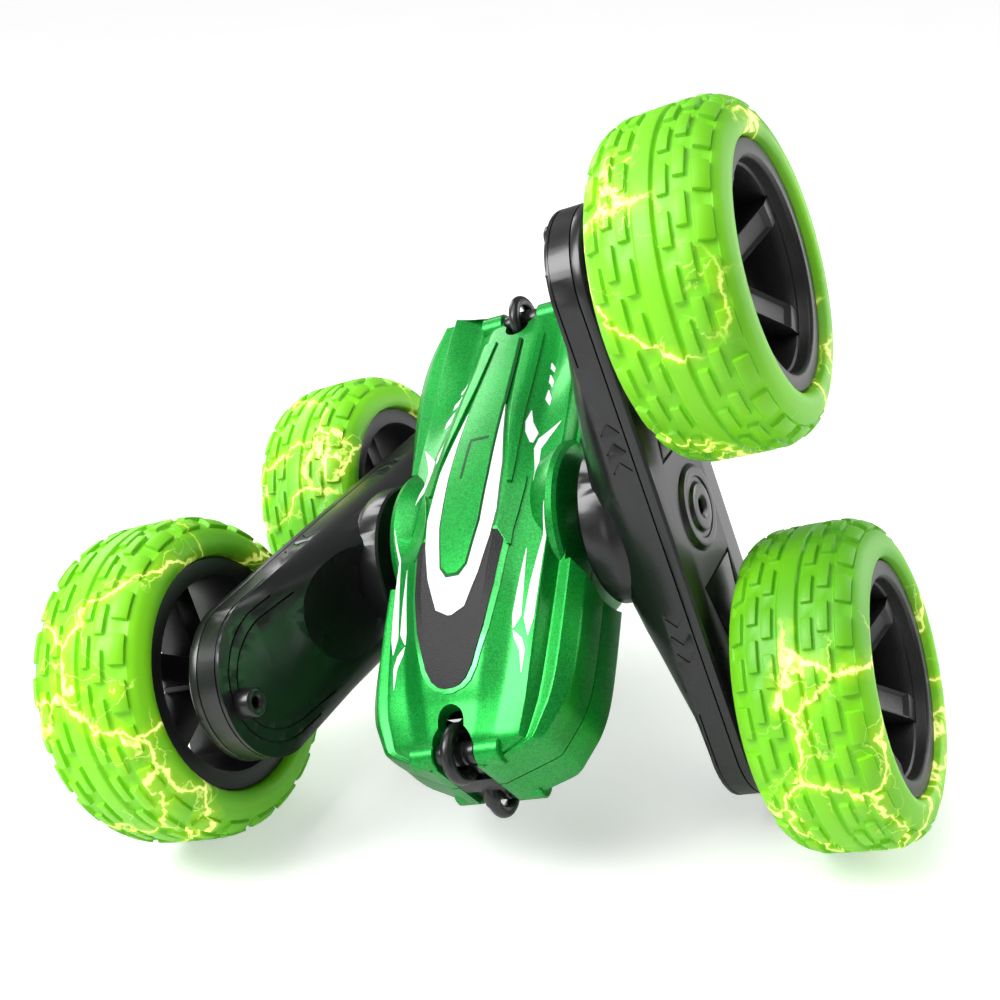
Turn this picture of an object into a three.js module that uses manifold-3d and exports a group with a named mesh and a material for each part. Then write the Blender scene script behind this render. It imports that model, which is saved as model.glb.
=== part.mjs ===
// Double-sided remote-control stunt car: a two-shell body carried between two rotating
// two-wheel arms. Millimetres, +Z up, +X right, +Y to the rear; the nose points to -Y.
// The car stands on three wheels with its arms crossed at a right angle.
import * as THREE from 'three';
import { mergeVertices } from 'three/addons/utils/BufferGeometryUtils.js';
import Module from 'manifold-3d';

const wasm = await Module();
wasm.setup();

// ---------------------------------------------------------------- driving dimensions
const GAP = 0.3;                        // clearance between neighbouring solids
const HALF_WHEELBASE = 44;              // arm pivot to wheel axle
const WHEEL_PLANE = 60.75;              // body centre to wheel centre plane
const TILT = Math.atan2(HALF_WHEELBASE, 2 * WHEEL_PLANE);   // lean of the pivot axis
const BODY_PITCH = THREE.MathUtils.degToRad(33.8);          // nose-down angle of the body

const TYRE_R = 33.5, TREAD_HALF_WIDTH = 5.9, SHOULDER_R = 8;
const WHEEL_SEGMENTS = 28;
const BEAD_R = 22.6;                    // where the tyre sits on the rim
const RIM_FLANGE_R = 24, RIM_HALF_WIDTH = 11.8, RIM_BORE_R = 20.2, RIM_HUB_R = 5.4;
const SPOKES = 5, SPOKE_WIDTH = 5.4, FIRST_SPOKE = 4;

const ARM_HALF_WIDTH = 16.5, ARM_END = 48.5;        // arm outline: two round ends and flat flanks
const ARM_FACE = 24, SLAB_FACE = 26.2;              // hub face and slab face, from the body centre
const ARM_SPLIT = 40, ARM_BACK = 43;                // joint with the cover, outer face
const HUB_R = 17;
const SCREW_AT = 59.9;                  // cover screws, from the pivot axis

const GEAR_MODULE = 2, SUN_TEETH = 8, IDLER_TEETH = 12, WHEEL_TEETH = 12;
const IDLER_AT = ((SUN_TEETH + IDLER_TEETH) * GEAR_MODULE) / 2;
const GEAR_FACE = 36.9, GEAR_WIDTH = 2.6;
const SHAFT_R = 1.5, AXLE_R = 2;

const POD_R = 19, POD_FACE = 20.2;      // round shoulders of the body at the arm hubs
const SHELL_WALL = 1.6, PARTING = 0.15;
const RING_R = 4.8, RING_WIRE = 1.35;   // tow shackle
const TOW_HALF_WIDTH = 4.2;             // black tow bracket in the nose and tail
const NOSE_PIN = [-53, 8.4], TAIL_PIN = [55.6, 8];

// ---------------------------------------------------------------- finishes
const finishes = {
  shellGreen: { color: 0x18a83c, roughness: 0.38, metalness: 0.55 },
  tyreGreen: { color: 0x5fe010, roughness: 0.6, metalness: 0 },
  glossBlack: { color: 0x0b0b0d, roughness: 0.18, metalness: 0 },
  satinBlack: { color: 0x17171a, roughness: 0.45, metalness: 0 },
  grainGrey: { color: 0x2a2a2d, roughness: 0.7, metalness: 0 },
  steel: { color: 0xb8bbc0, roughness: 0.3, metalness: 1 },
  nylonWhite: { color: 0xe6e6e0, roughness: 0.5, metalness: 0 },
  boardGreen: { color: 0x0c5a2e, roughness: 0.5, metalness: 0 },
  cellBlue: { color: 0x2152b0, roughness: 0.4, metalness: 0 },
};

// ---------------------------------------------------------------- solid helpers
/** Manifold solid of a closed three.js geometry, whichever way its faces wind. */
function solid(geometry) {
  const bare = geometry.index ? geometry.toNonIndexed() : geometry.clone();
  bare.deleteAttribute('normal');
  bare.deleteAttribute('uv');
  const merged = mergeVertices(bare, 1e-4);
  const triangles = Array.from(merged.index.array);
  const corner = [0, 1, 2].map(() => new THREE.Vector3());
  let volume = 0;
  for (let i = 0; i < triangles.length; i += 3) {
    corner.forEach((v, k) => v.fromBufferAttribute(merged.attributes.position, triangles[i + k]));
    volume += corner[0].dot(corner[1].cross(corner[2]));
  }
  if (volume < 0) {
    for (let i = 0; i < triangles.length; i += 3) {
      [triangles[i], triangles[i + 1]] = [triangles[i + 1], triangles[i]];
    }
  }
  return new wasm.Manifold(new wasm.Mesh({
    numProp: 3,
    vertProperties: new Float32Array(merged.attributes.position.array),
    triVerts: new Uint32Array(triangles),
  }));
}

/** three.js geometry of a Manifold solid. */
function geometryOf(manifold) {
  const mesh = manifold.getMesh();
  const geometry = new THREE.BufferGeometry();
  geometry.setAttribute('position', new THREE.BufferAttribute(new Float32Array(mesh.vertProperties), 3));
  geometry.setIndex(Array.from(mesh.triVerts));
  geometry.computeVertexNormals();
  return geometry;
}

const join = (...parts) => parts.reduce((sum, part) => sum.add(part));
const cut = (base, ...tools) => tools.reduce((rest, tool) => rest.subtract(tool), base);

/** Solid of revolution about X from [x, radius] points; a ring profile closes on itself. */
function revolve(profile, segments = 32) {
  const points = profile.map(([x, r]) => new THREE.Vector2(Math.max(r, 0), x));
  if (profile[0][1] > 0) points.push(points[0].clone());
  const lathe = new THREE.LatheGeometry(points, segments);
  lathe.rotateZ(-Math.PI / 2);
  return solid(lathe);
}

/** Plain round bar along X. */
function bar(r, x0, x1, { y = 0, z = 0, segments = 20 } = {}) {
  return revolve([[x0, 0], [x1, 0], [x1, r], [x0, r], [x0, 0]], segments).translate(0, y, z);
}

/** Round bar along Z. */
function upright(r, z0, z1, x, y, segments = 8) {
  return bar(r, z0, z1, { segments }).rotate([0, -90, 0]).translate(x, y, 0);
}

/** Straight prism from x0 to x1 over a closed outline of [y, z] points or a THREE.Shape. */
function prism(outline, x0, x1, curveSegments = 7) {
  const shape = outline instanceof THREE.Shape
    ? outline : new THREE.Shape(outline.map(([y, z]) => new THREE.Vector2(y, z)));
  const slab = new THREE.ExtrudeGeometry(shape, { depth: x1 - x0, bevelEnabled: false, curveSegments });
  const toX = new THREE.Matrix4().makeBasis(
    new THREE.Vector3(0, 1, 0), new THREE.Vector3(0, 0, 1), new THREE.Vector3(1, 0, 0));
  slab.applyMatrix4(toX);
  return solid(slab).translate(x0, 0, 0);
}

/** Straight prism from z0 to z1 over a closed outline of [x, y] points. */
function plate(outline, z0, z1) {
  const shape = new THREE.Shape(outline.map(([x, y]) => new THREE.Vector2(x, y)));
  const slab = new THREE.ExtrudeGeometry(shape, { depth: z1 - z0, bevelEnabled: false });
  return solid(slab).translate(0, 0, z0);
}

/** Block between two corners. */
function box(x0, x1, y0, y1, z0, z1) {
  const block = new THREE.BoxGeometry(x1 - x0, y1 - y0, z1 - z0);
  block.translate((x0 + x1) / 2, (y0 + y1) / 2, (z0 + z1) / 2);
  return solid(block);
}

/** Closed loop of [y, z] points shaped like a stadium along Y. */
function stadium(end, r) {
  const shape = new THREE.Shape();
  shape.absarc(end, 0, r, -Math.PI / 2, Math.PI / 2, false);
  shape.absarc(-end, 0, r, Math.PI / 2, 1.5 * Math.PI, false);
  return shape;
}

/** Spur gear about X with its first tooth, or first gap, on +Y. */
function spurGear(teeth, x0, x1, { gapFirst = false, bore = SHAFT_R + GAP } = {}) {
  const pitchR = (teeth * GEAR_MODULE) / 2;
  const tipR = pitchR + 0.6 * GEAR_MODULE, rootR = pitchR - 0.8 * GEAR_MODULE;
  const step = (2 * Math.PI) / teeth;
  const shape = new THREE.Shape();
  for (let i = 0; i < teeth; i += 1) {
    const middle = i * step + (gapFirst ? step / 2 : 0);
    for (const [offset, r] of [[-0.36, rootR], [-0.11, tipR], [0.11, tipR], [0.36, rootR]]) {
      const angle = middle + offset * step;
      if (i === 0 && offset === -0.36) shape.moveTo(r * Math.cos(angle), r * Math.sin(angle));
      else shape.lineTo(r * Math.cos(angle), r * Math.sin(angle));
    }
  }
  const blank = prism(shape, x0, x1);
  return cut(blank, bar(bore, x0 - 1, x1 + 1, { segments: 12 }));
}

/** Closed skin over equal rings of points, capped at both ends. */
function loft(rings) {
  const count = rings[0].length;
  const positions = rings.flat(2);
  const index = [];
  for (let r = 0; r + 1 < rings.length; r += 1) {
    for (let i = 0; i < count; i += 1) {
      const a = r * count + i, b = r * count + ((i + 1) % count);
      index.push(a, b, a + count, b, b + count, a + count);
    }
  }
  const last = (rings.length - 1) * count;
  for (let i = 1; i + 1 < count; i += 1) {
    index.push(0, i + 1, i, last, last + i, last + i + 1);
  }
  const geometry = new THREE.BufferGeometry();
  geometry.setAttribute('position', new THREE.BufferAttribute(new Float32Array(positions), 3));
  geometry.setIndex(index);
  return solid(geometry);
}

/** Named mesh of a solid. */
function piece(name, manifold, finish) {
  const mesh = new THREE.Mesh(geometryOf(manifold), new THREE.MeshStandardMaterial(finishes[finish]));
  mesh.name = name;
  return mesh;
}

// ---------------------------------------------------------------- body shells
const WINDSHIELD_OUTLINE = [[-4.4, -42.6], [4.4, -42.6], [7, -36], [9.4, -26], [10.8, -12], [10.8, -2],
  [9.2, 0.5], [-9.2, 0.5], [-10.8, -2], [-10.8, -12], [-9.4, -26], [-7, -36]];
const SCREW_POSTS = [[16.4, -34], [-16.4, -34], [17.2, 37], [-17.2, 37]];
// Half sections of the upper hull at stations along Y: [y, roof height, roof half-width,
// shoulder half-width, shoulder height, fender half-width, fender height, wall half-width].
const WALL_TOP = 8.1;
const hullStations = [
  [-56.2, 8.6, 2.5, 4, 8.5, 5.4, 8.4, 6.2],
  [-51.6, 12.2, 5, 9, 11.2, 14, 10.6, 17.8],
  [-45, 14.2, 6, 10.5, 12.6, 15.6, 12.4, 21.4],
  [-40, 16.4, 7, 11.5, 13.6, 16.2, 13.4, 23.2],
  [-28, 18.8, 8, 12.5, 15.6, 17, 14.6, 23.6],
  [-18, 20.2, 8.4, 13, 16.8, 17.6, 15.2, 23.7],
  [0, 20.4, 8.4, 13.4, 17.4, 18, 15.4, 23.7],
  [16, 18.6, 8, 13, 15.4, 18, 14, 23.9],
  [30, 15.6, 7.4, 12, 12.8, 17.6, 13, 25.8],
  [42.6, 12.8, 7, 11.4, 10, 17, 12.6, 26.4],
  [52, 11, 6.6, 11, 9, 16.6, 12.2, 25],
  [58.2, 9.4, 6, 11, 8.7, 16.4, 11.6, 22.6],
];

/** Section ring of the upper hull, shrunk inward by the given wall thickness. */
function hullRing([y, roofZ, roofX, shoulderX, shoulderZ, fenderX, fenderZ, wallX], wall) {
  const floor = wall > 0 ? -1 : PARTING;
  const half = [
    [wallX - wall, floor],
    [wallX - wall, WALL_TOP - 0.6 * wall],
    [fenderX - 0.8 * wall, fenderZ - wall],
    [shoulderX - 0.5 * wall, shoulderZ - wall],
    [roofX - 0.5 * wall, roofZ - 0.5 - wall],
  ];
  const mirrored = half.slice().reverse().map(([x, z]) => [-x, z]);
  return [...half, ...mirrored].map(([x, z]) => [x, y, z]);
}

const hullInner = hullStations
  .filter(([y]) => y > -50 && y < 56)
  .map((station) => hullRing(station, SHELL_WALL));

/** Barrel stubs beside a tow bracket, with the pin's axis at [y, z]. */
function towBarrels([y, z], r, length) {
  const stub = (side) => bar(r, Math.min(side * 4.6, side * length), Math.max(side * 4.6, side * length),
    { y, z, segments: 16 });
  return join(stub(1), stub(-1));
}

/** One moulded half of the body: a hollow hull with hub pods and tow slots. */
function bodyShell() {
  const skin = loft(hullStations.map((station) => hullRing(station, 0)));
  const upperHalf = box(-40, 40, -70, 75, PARTING, 40);
  const pods = bar(POD_R, -POD_FACE, POD_FACE, { segments: 24 }).intersect(upperHalf);
  const outer = join(skin, pods, towBarrels(NOSE_PIN, 2.9, 10).intersect(upperHalf),
    towBarrels(TAIL_PIN, 2.9, 10).intersect(upperHalf));
  const hollowPods = bar(POD_R - SHELL_WALL, -POD_FACE + 2.4, POD_FACE - 2.4, { segments: 24 });
  const hubRecess = [1, -1].map((side) => bar(HUB_R + 1.6, side > 0 ? POD_FACE : -40,
    side > 0 ? 40 : -POD_FACE, { segments: 24 }));
  const bushSeats = bar(8.8, -30, 30, { segments: 16 });
  const towSlots = [
    box(-TOW_HALF_WIDTH - GAP, TOW_HALF_WIDTH + GAP, -70, -45.6, -1, 40),
    box(-TOW_HALF_WIDTH - GAP, TOW_HALF_WIDTH + GAP, 48.8, 75, -1, 40),
  ];
  const podWalls = [1, -1].map((side) => bar(HUB_R + 1.6 + SHELL_WALL, side > 0 ? POD_FACE - 2.4 : -40,
    side > 0 ? 40 : 2.4 - POD_FACE, { segments: 24 }));
  const bulkheads = join(box(-18, 18, -45.6 - 0.1, -44, PARTING, 13), box(-18, 18, 47.2, 48.9, PARTING, 10));
  const posts = SCREW_POSTS.map(([x, y]) => join(upright(2.4, PARTING, 20, x, y), box(
    Math.min(x, x + Math.sign(x) * 6), Math.max(x, x + Math.sign(x) * 6), y - 0.7, y + 0.7, PARTING, 20)));
  const inner = cut(join(cut(loft(hullInner), ...podWalls), hollowPods), bulkheads, ...posts);
  const screwHoles = SCREW_POSTS.map(([x, y]) => upright(1.1, -1, 9, x, y));
  return cut(outer, inner, ...hubRecess, bushSeats, ...towSlots, ...screwHoles);
}

/** Outline of [x, y] points moved outward by a clearance, away from the windshield's middle. */
const widened = (outline, by) => outline.map(
  ([x, y]) => [x + Math.sign(x) * by, y + (y > -20 ? by : -by)]);

/** Thin panel that follows the hull top inside an outline, proud of it by a little. */
function hullPanel(outline, lift, depth) {
  const raised = hullStations.map(([y, roofZ, ...rest]) => {
    const [roofX, shoulderX, shoulderZ, fenderX, fenderZ, wallX] = rest;
    return (offset) => hullRing([y, roofZ + offset, roofX, shoulderX, shoulderZ + offset,
      fenderX, fenderZ + offset, wallX], 0);
  });
  const top = loft(raised.map((ring) => ring(lift)));
  const bottom = loft(raised.map((ring) => ring(lift - depth)));
  return cut(top, bottom.add(box(-40, 40, -70, 75, -5, 5))).intersect(plate(outline, 5, 30));
}

// ---------------------------------------------------------------- body contents
/** Tow bracket wrapped round the nose or tail: an upright block with two pin lugs. */
function towBracket([pinY, pinZ], towards) {
  const tip = pinY + towards * 2.2, root = pinY - towards * 5.6;
  const block = box(-TOW_HALF_WIDTH, TOW_HALF_WIDTH, Math.min(tip, root), Math.max(tip, root), -7, 7);
  const slots = [1, -1].map((side) => box(-1.9, 1.9, pinY - 8, pinY + 8, side > 0 ? 1.4 : -20, side > 0 ? 20 : -1.4));
  const lugs = [1, -1].map((side) => join(
    bar(2.3, -TOW_HALF_WIDTH, -2.1, { y: pinY, z: side * pinZ, segments: 12 }),
    bar(2.3, 2.1, TOW_HALF_WIDTH, { y: pinY, z: side * pinZ, segments: 12 })));
  const bores = [1, -1].map((side) => bar(1.1 + 0.06, -20, 20, { y: pinY, z: side * pinZ, segments: 12 }));
  return cut(join(block, ...lugs), ...slots, ...bores);
}

/** Closed round shackle in the YZ plane around a pin. */
function towRing([y, z]) {
  const torus = new THREE.TorusGeometry(RING_R, RING_WIRE, 6, 16);
  torus.rotateY(Math.PI / 2);
  return solid(torus).translate(0, y, z);
}

/** Gear motor: round can with flats and its reduction-box housing, on one side of the body. */
function motorCan(side) {
  const can = bar(7.6, 0, 12.5, { segments: 24 }).intersect(box(0, 12.5, -9, 9, -6, 6));
  return side > 0 ? can.translate(0.4, 0, 0) : can.rotate([0, 180, 0]).translate(-0.4, 0, 0);
}

/** Bush fixed in the pod that carries the arm's neck. */
function hubBush(side) {
  const bush = revolve([[17.2, 6.9], [POD_FACE - GAP, 6.9], [POD_FACE - GAP, 8.5], [17.2, 8.5]], 16);
  return side > 0 ? bush : bush.rotate([0, 180, 0]);
}

// ---------------------------------------------------------------- arm

/** Inner arm shell: round hub, tapering slab with scooped flanks, hollow for the gears. */
function armShell() {
  const slab = prism(stadium(ARM_END, ARM_HALF_WIDTH), ARM_FACE, ARM_SPLIT);
  const taper = [
    [0, SLAB_FACE], [14, SLAB_FACE], [20, 27.6], [33, 30.4], [48, 34], [ARM_END + ARM_HALF_WIDTH + 1, 34.6],
  ];
  const half = taper.map(([y, x]) => [x, y]);
  const profile = [...half, [60, ARM_END + ARM_HALF_WIDTH + 1],
    [60, -ARM_END - ARM_HALF_WIDTH - 1], ...half.slice(1).reverse().map(([x, y]) => [x, -y])];
  const side = plate(profile, -ARM_HALF_WIDTH - 5, ARM_HALF_WIDTH + 5);
  const hub = bar(HUB_R, ARM_FACE, 31, { segments: 24 });
  const scoops = [1, -1].map((end) => {
    const ball = new THREE.SphereGeometry(1, 12, 6);
    ball.scale(5.2, 20, 11.5);
    return solid(ball).translate(27.2, end * 27, 0);
  });
  const outside = cut(join(slab.intersect(side), hub), ...scoops);
  const gearRoom = prism(stadium(HALF_WHEELBASE, 14.3), GEAR_FACE - 0.6, ARM_SPLIT + 1);
  const neck = bar(6.6, 14.4, ARM_FACE + 1, { segments: 16 });
  const flange = bar(9.6, 14.4, 16.6, { segments: 16 });
  const shaftWay = bar(2.2, 10, GEAR_FACE, { segments: 12 });
  const bosses = [1, -1].map((end) => bar(2.9, 31.4, 36, { y: end * SCREW_AT, segments: 12 }));
  const screwHoles = [1, -1].map((end) => bar(1, 34.8, 50, { y: end * SCREW_AT, segments: 12 }));
  const pins = [1, -1].map((end) => bar(1.9, 35, ARM_SPLIT - 0.3, { y: end * IDLER_AT, segments: 12 }));
  const axleSeats = [1, -1].map((end) => bar(AXLE_R + GAP, 34.9, 50, { y: end * HALF_WHEELBASE, segments: 12 }));
  const shell = cut(join(outside, neck, flange, ...bosses), gearRoom, shaftWay);
  return cut(join(shell, ...pins), ...axleSeats, ...screwHoles);
}

/** Outer arm cover: stepped centre boss and shallow trapezoid panels. */
function armCover() {
  const lid = prism(stadium(ARM_END, ARM_HALF_WIDTH), ARM_SPLIT + GAP, ARM_BACK - 1);
  const rim = prism(stadium(ARM_END, ARM_HALF_WIDTH - 1.4), ARM_BACK - 1.2, ARM_BACK);
  const grooves = [1, -1].map((end) => join(
    box(ARM_BACK - 0.5, ARM_BACK + 1, end * 12.6 - 0.4, end * 12.6 + 0.4, -9, 9),
    box(ARM_BACK - 0.5, ARM_BACK + 1, end * 30 - 0.4, end * 30 + 0.4, -7, 7)));
  const axleHoles = [1, -1].map((end) => bar(AXLE_R + GAP, 30, 50, { y: end * HALF_WHEELBASE, segments: 12 }));
  const screwHoles = [1, -1].map((end) => join(bar(1, 30, 50, { y: end * SCREW_AT, segments: 12 }),
    bar(1.9, ARM_BACK - 1.5, 50, { y: end * SCREW_AT, segments: 12 })));
  const boss = join(bar(9, ARM_BACK - 0.5, ARM_BACK + 0.7, { segments: 24 }),
    bar(5, ARM_BACK, ARM_BACK + 1.2));
  return cut(join(lid, rim, boss), ...grooves, ...axleHoles, ...screwHoles);
}

/** Screw that holds the cover to the shell, along X. */
function armScrew(y) {
  const seat = ARM_BACK - 1.2;
  return revolve([[35.4, 0], [35.4, 0.7], [seat, 0.7], [seat, 1.6], [seat + 0.9, 1.3], [seat + 0.9, 0],
    [35.4, 0]], 12).translate(0, y, 0);
}

// ---------------------------------------------------------------- wheel
/** Hollow rubber tyre: flat tread, round shoulders, beads against the rim. */
function tyre() {
  const shoulder = [];
  for (let i = 0; i <= 3; i += 1) {
    const angle = (i / 3) * 1.42;
    shoulder.push([TREAD_HALF_WIDTH + SHOULDER_R * Math.sin(angle),
      TYRE_R - SHOULDER_R * (1 - Math.cos(angle))]);
  }
  const side = [...shoulder, [12.7, RIM_FLANGE_R + GAP], [RIM_HALF_WIDTH - 1.5, RIM_FLANGE_R + GAP],
    [RIM_HALF_WIDTH - 1.5, BEAD_R]];
  const mirrored = side.slice().reverse().map(([x, r]) => [-x, r]);
  return revolve([...side, ...mirrored], WHEEL_SEGMENTS);
}

/** Deep-dish rim: outer flange, barrel, box spokes and a hub with the axle bore. */
function rim() {
  const w = RIM_HALF_WIDTH;
  const barrel = revolve([[-w, RIM_BORE_R], [w, RIM_BORE_R], [w, RIM_FLANGE_R], [w - 1.2, RIM_FLANGE_R],
    [w - 1.2, BEAD_R - GAP], [-w + 1.2, BEAD_R - GAP], [-w + 1.2, RIM_FLANGE_R], [-w, RIM_FLANGE_R]],
  WHEEL_SEGMENTS);
  const hub = revolve([[-w + 1, 0], [4, 0], [4, RIM_HUB_R - 1], [2.6, RIM_HUB_R], [-w + 1, RIM_HUB_R],
    [-w + 1, 0]], 14);
  const spokeSide = [[RIM_BORE_R + 1.2, -2], [RIM_BORE_R + 1.2, w - 2.4], [RIM_BORE_R - 1.5, w - 2.4],
    [RIM_HUB_R - 1, 1.5], [RIM_HUB_R - 1, -6], [RIM_BORE_R - 2, -2]].map(([y, x]) => [x, y]);
  const spoke = plate(spokeSide, -SPOKE_WIDTH / 2, SPOKE_WIDTH / 2);
  const spokes = Array.from({ length: SPOKES }, (_, i) => spoke.rotate([FIRST_SPOKE + (i * 360) / SPOKES, 0, 0]));
  return cut(join(barrel, hub, ...spokes), bar(AXLE_R + GAP, -20, 20, { segments: 12 }));
}

// ---------------------------------------------------------------- assembly
const car = new THREE.Group();
const axisFrame = new THREE.Group();            // local X lies along the arm pivot axis
axisFrame.rotation.y = -TILT;
car.add(axisFrame);

const body = new THREE.Group();                 // local Y runs from nose to tail
body.rotation.x = BODY_PITCH;
axisFrame.add(body);

const shell = bodyShell();
const windshieldRecess = hullPanel(widened(WINDSHIELD_OUTLINE, GAP), 5, 5 + 0.9);
const windshield = hullPanel(WINDSHIELD_OUTLINE, -0.05, 0.55);
const shellCut = cut(shell, windshieldRecess);
const turned = (manifold) => manifold.rotate([0, 180, 0]);
const screwWells = SCREW_POSTS.map(([x, y]) => upright(2.2, -40, -7.8, x, y));
const switchSlot = box(-5.2, 5.2, 30.6, 34.2, -40, -5);
const portSlot = box(-4.8, 4.8, 36.6, 40.4, -40, -5);
body.add(piece('upper_shell', shellCut, 'shellGreen'));
body.add(piece('lower_shell', cut(turned(shellCut), ...screwWells, switchSlot, portSlot), 'shellGreen'));
body.add(piece('windshield_upper', windshield, 'grainGrey'));
body.add(piece('windshield_lower', turned(windshield), 'grainGrey'));

for (const [end, pin, towards] of [['front', NOSE_PIN, -1], ['rear', TAIL_PIN, 1]]) {
  body.add(piece(`${end}_tow_bracket`, towBracket(pin, towards), 'glossBlack'));
  for (const [face, side] of [['upper', 1], ['lower', -1]]) {
    const at = [pin[0], side * pin[1]];
    body.add(piece(`${end}_${face}_tow_ring`, towRing(at), 'glossBlack'));
    body.add(piece(`${end}_${face}_tow_pin`, bar(1.1, -4.1, 4.1, { y: at[0], z: at[1], segments: 12 }), 'steel'));
  }
}

SCREW_POSTS.forEach(([x, y], i) => {
  const screw = join(upright(0.8, -8.1, 6.5, x, y), upright(1.7, -9.3, -8.1, x, y));
  body.add(piece(`body_screw_${i + 1}`, screw, 'steel'));
});

body.add(piece('battery_pack', box(-13.5, 13.5, -38, -21, -5.5, 5.5), 'cellBlue'));
body.add(piece('circuit_board', box(-12, 12, 22, 44, 1.2, 2.8), 'boardGreen'));
body.add(piece('power_switch_base', cut(box(-4.9, 4.9, 30.9, 33.9, -11.4, -6),
  box(-3.9, 3.9, 31.6, 33.2, -20, -8)), 'satinBlack'));
body.add(piece('power_switch_knob', box(-3.5, -0.5, 31.9, 32.9, -13.2, -8.3), 'nylonWhite'));
body.add(piece('charging_port', cut(box(-4.4, 4.4, 36.9, 40.1, -11.6, -5.6),
  box(-3.4, 3.4, 37.6, 39.4, -20, -7)), 'steel'));

for (const [label, side] of [['left', -1], ['right', 1]]) {
  body.add(piece(`${label}_gearmotor`, motorCan(side), 'steel'));
  body.add(piece(`${label}_hub_bush`, hubBush(side), 'satinBlack'));

  // local X points away from the body and local Y along the arm
  const arm = new THREE.Group();
  if (side < 0) arm.rotation.y = Math.PI;
  else arm.rotation.x = Math.PI / 2;
  axisFrame.add(arm);
  arm.add(piece(`${label}_arm_shell`, armShell(), 'glossBlack'));
  arm.add(piece(`${label}_arm_cover`, armCover(), 'glossBlack'));
  arm.add(piece(`${label}_drive_shaft`, bar(SHAFT_R, 13.2, GEAR_FACE + GEAR_WIDTH, { segments: 10 }), 'steel'));
  arm.add(piece(`${label}_sun_gear`, spurGear(SUN_TEETH, GEAR_FACE, GEAR_FACE + GEAR_WIDTH), 'nylonWhite'));

  const ends = side < 0 ? [['front', -1], ['rear', 1]] : [['lower', -1], ['upper', 1]];
  for (const [end, towards] of ends) {
    const idler = spurGear(IDLER_TEETH, GEAR_FACE, GEAR_FACE + GEAR_WIDTH, { gapFirst: true, bore: 1.9 + GAP });
    arm.add(piece(`${label}_${end}_idler_gear`, idler.translate(0, towards * IDLER_AT, 0), 'nylonWhite'));
    arm.add(piece(`${label}_${end}_cover_screw`, armScrew(towards * SCREW_AT), 'steel'));

    const wheel = new THREE.Group();
    wheel.position.set(WHEEL_PLANE, towards * HALF_WHEELBASE, 0);
    arm.add(wheel);
    const gear = spurGear(WHEEL_TEETH, GEAR_FACE, GEAR_FACE + GEAR_WIDTH, { bore: AXLE_R + GAP });
    wheel.add(piece(`${label}_${end}_tyre`, tyre(), 'tyreGreen'));
    wheel.add(piece(`${label}_${end}_rim`, rim(), 'satinBlack'));
    wheel.add(piece(`${label}_${end}_axle`, bar(AXLE_R, 35.3 - WHEEL_PLANE, 3.4, { segments: 12 }), 'steel'));
    wheel.add(piece(`${label}_${end}_wheel_gear`, gear.translate(-WHEEL_PLANE, 0, 0), 'nylonWhite'));
  }
}

// The origin is the middle of the footprint, on the floor that the wheels touch.
car.updateMatrixWorld(true);
const extent = new THREE.Box3().setFromObject(car, true);
car.position.set(-(extent.min.x + extent.max.x) / 2, -(extent.min.y + extent.max.y) / 2, -extent.min.z);

export default car;
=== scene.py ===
"""Looks of the double-sided stunt car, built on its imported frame."""

import logging
import math
from dataclasses import dataclass, field
from enum import Enum
from typing import Callable, Sequence

import bmesh
import bpy
from mathutils import Matrix, Vector


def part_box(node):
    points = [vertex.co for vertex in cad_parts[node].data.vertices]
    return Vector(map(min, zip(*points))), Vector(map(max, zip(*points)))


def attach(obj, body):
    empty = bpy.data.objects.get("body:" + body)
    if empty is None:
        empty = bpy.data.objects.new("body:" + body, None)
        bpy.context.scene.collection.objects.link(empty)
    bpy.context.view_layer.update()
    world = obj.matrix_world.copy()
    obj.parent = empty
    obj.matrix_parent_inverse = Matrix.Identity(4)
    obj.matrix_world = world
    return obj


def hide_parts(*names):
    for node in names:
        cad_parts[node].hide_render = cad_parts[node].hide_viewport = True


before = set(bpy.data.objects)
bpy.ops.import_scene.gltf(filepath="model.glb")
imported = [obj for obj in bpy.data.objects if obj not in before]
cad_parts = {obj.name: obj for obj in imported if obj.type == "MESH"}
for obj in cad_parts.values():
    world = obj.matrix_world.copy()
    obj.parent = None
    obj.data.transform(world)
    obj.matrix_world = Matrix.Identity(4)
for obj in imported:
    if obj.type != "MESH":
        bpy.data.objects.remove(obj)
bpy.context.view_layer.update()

MM = 0.001
log = logging.getLogger("stunt_car")

Test = Callable[[object], bool]


# ------------------------------------------------------------------ layout


def centre(*nodes: str) -> Vector:
    """Middle of the boxes of some CAD nodes, in metres.

    Args:
        nodes: names of the CAD nodes.

    Returns:
        The mean of the nodes' box centres.
    """
    middles = [(Vector(low) + Vector(high)) / 2 for low, high in map(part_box, nodes)]
    return sum(middles, Vector()) / len(middles)


def local_frame(origin: Vector, along_x: Vector, along_y: Vector) -> Matrix:
    """Frame that turns local millimetres into the row frame's metres.

    Args:
        origin: where the local origin lies, in metres.
        along_x: direction of local X.
        along_y: direction of local Y.

    Returns:
        The 4x4 matrix, with its scale from millimetres to metres.
    """
    x = along_x.normalized()
    z = x.cross(along_y).normalized()
    y = z.cross(x)
    turn = Matrix((x, y, z)).transposed().to_4x4()
    return Matrix.Translation(origin) @ turn @ Matrix.Scale(MM, 4)


class Side(Enum):
    """The two arms."""

    LEFT = "left"
    RIGHT = "right"


WHEELS = {
    Side.LEFT: ("left_front", "left_rear"),
    Side.RIGHT: ("right_lower", "right_upper"),
}


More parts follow.
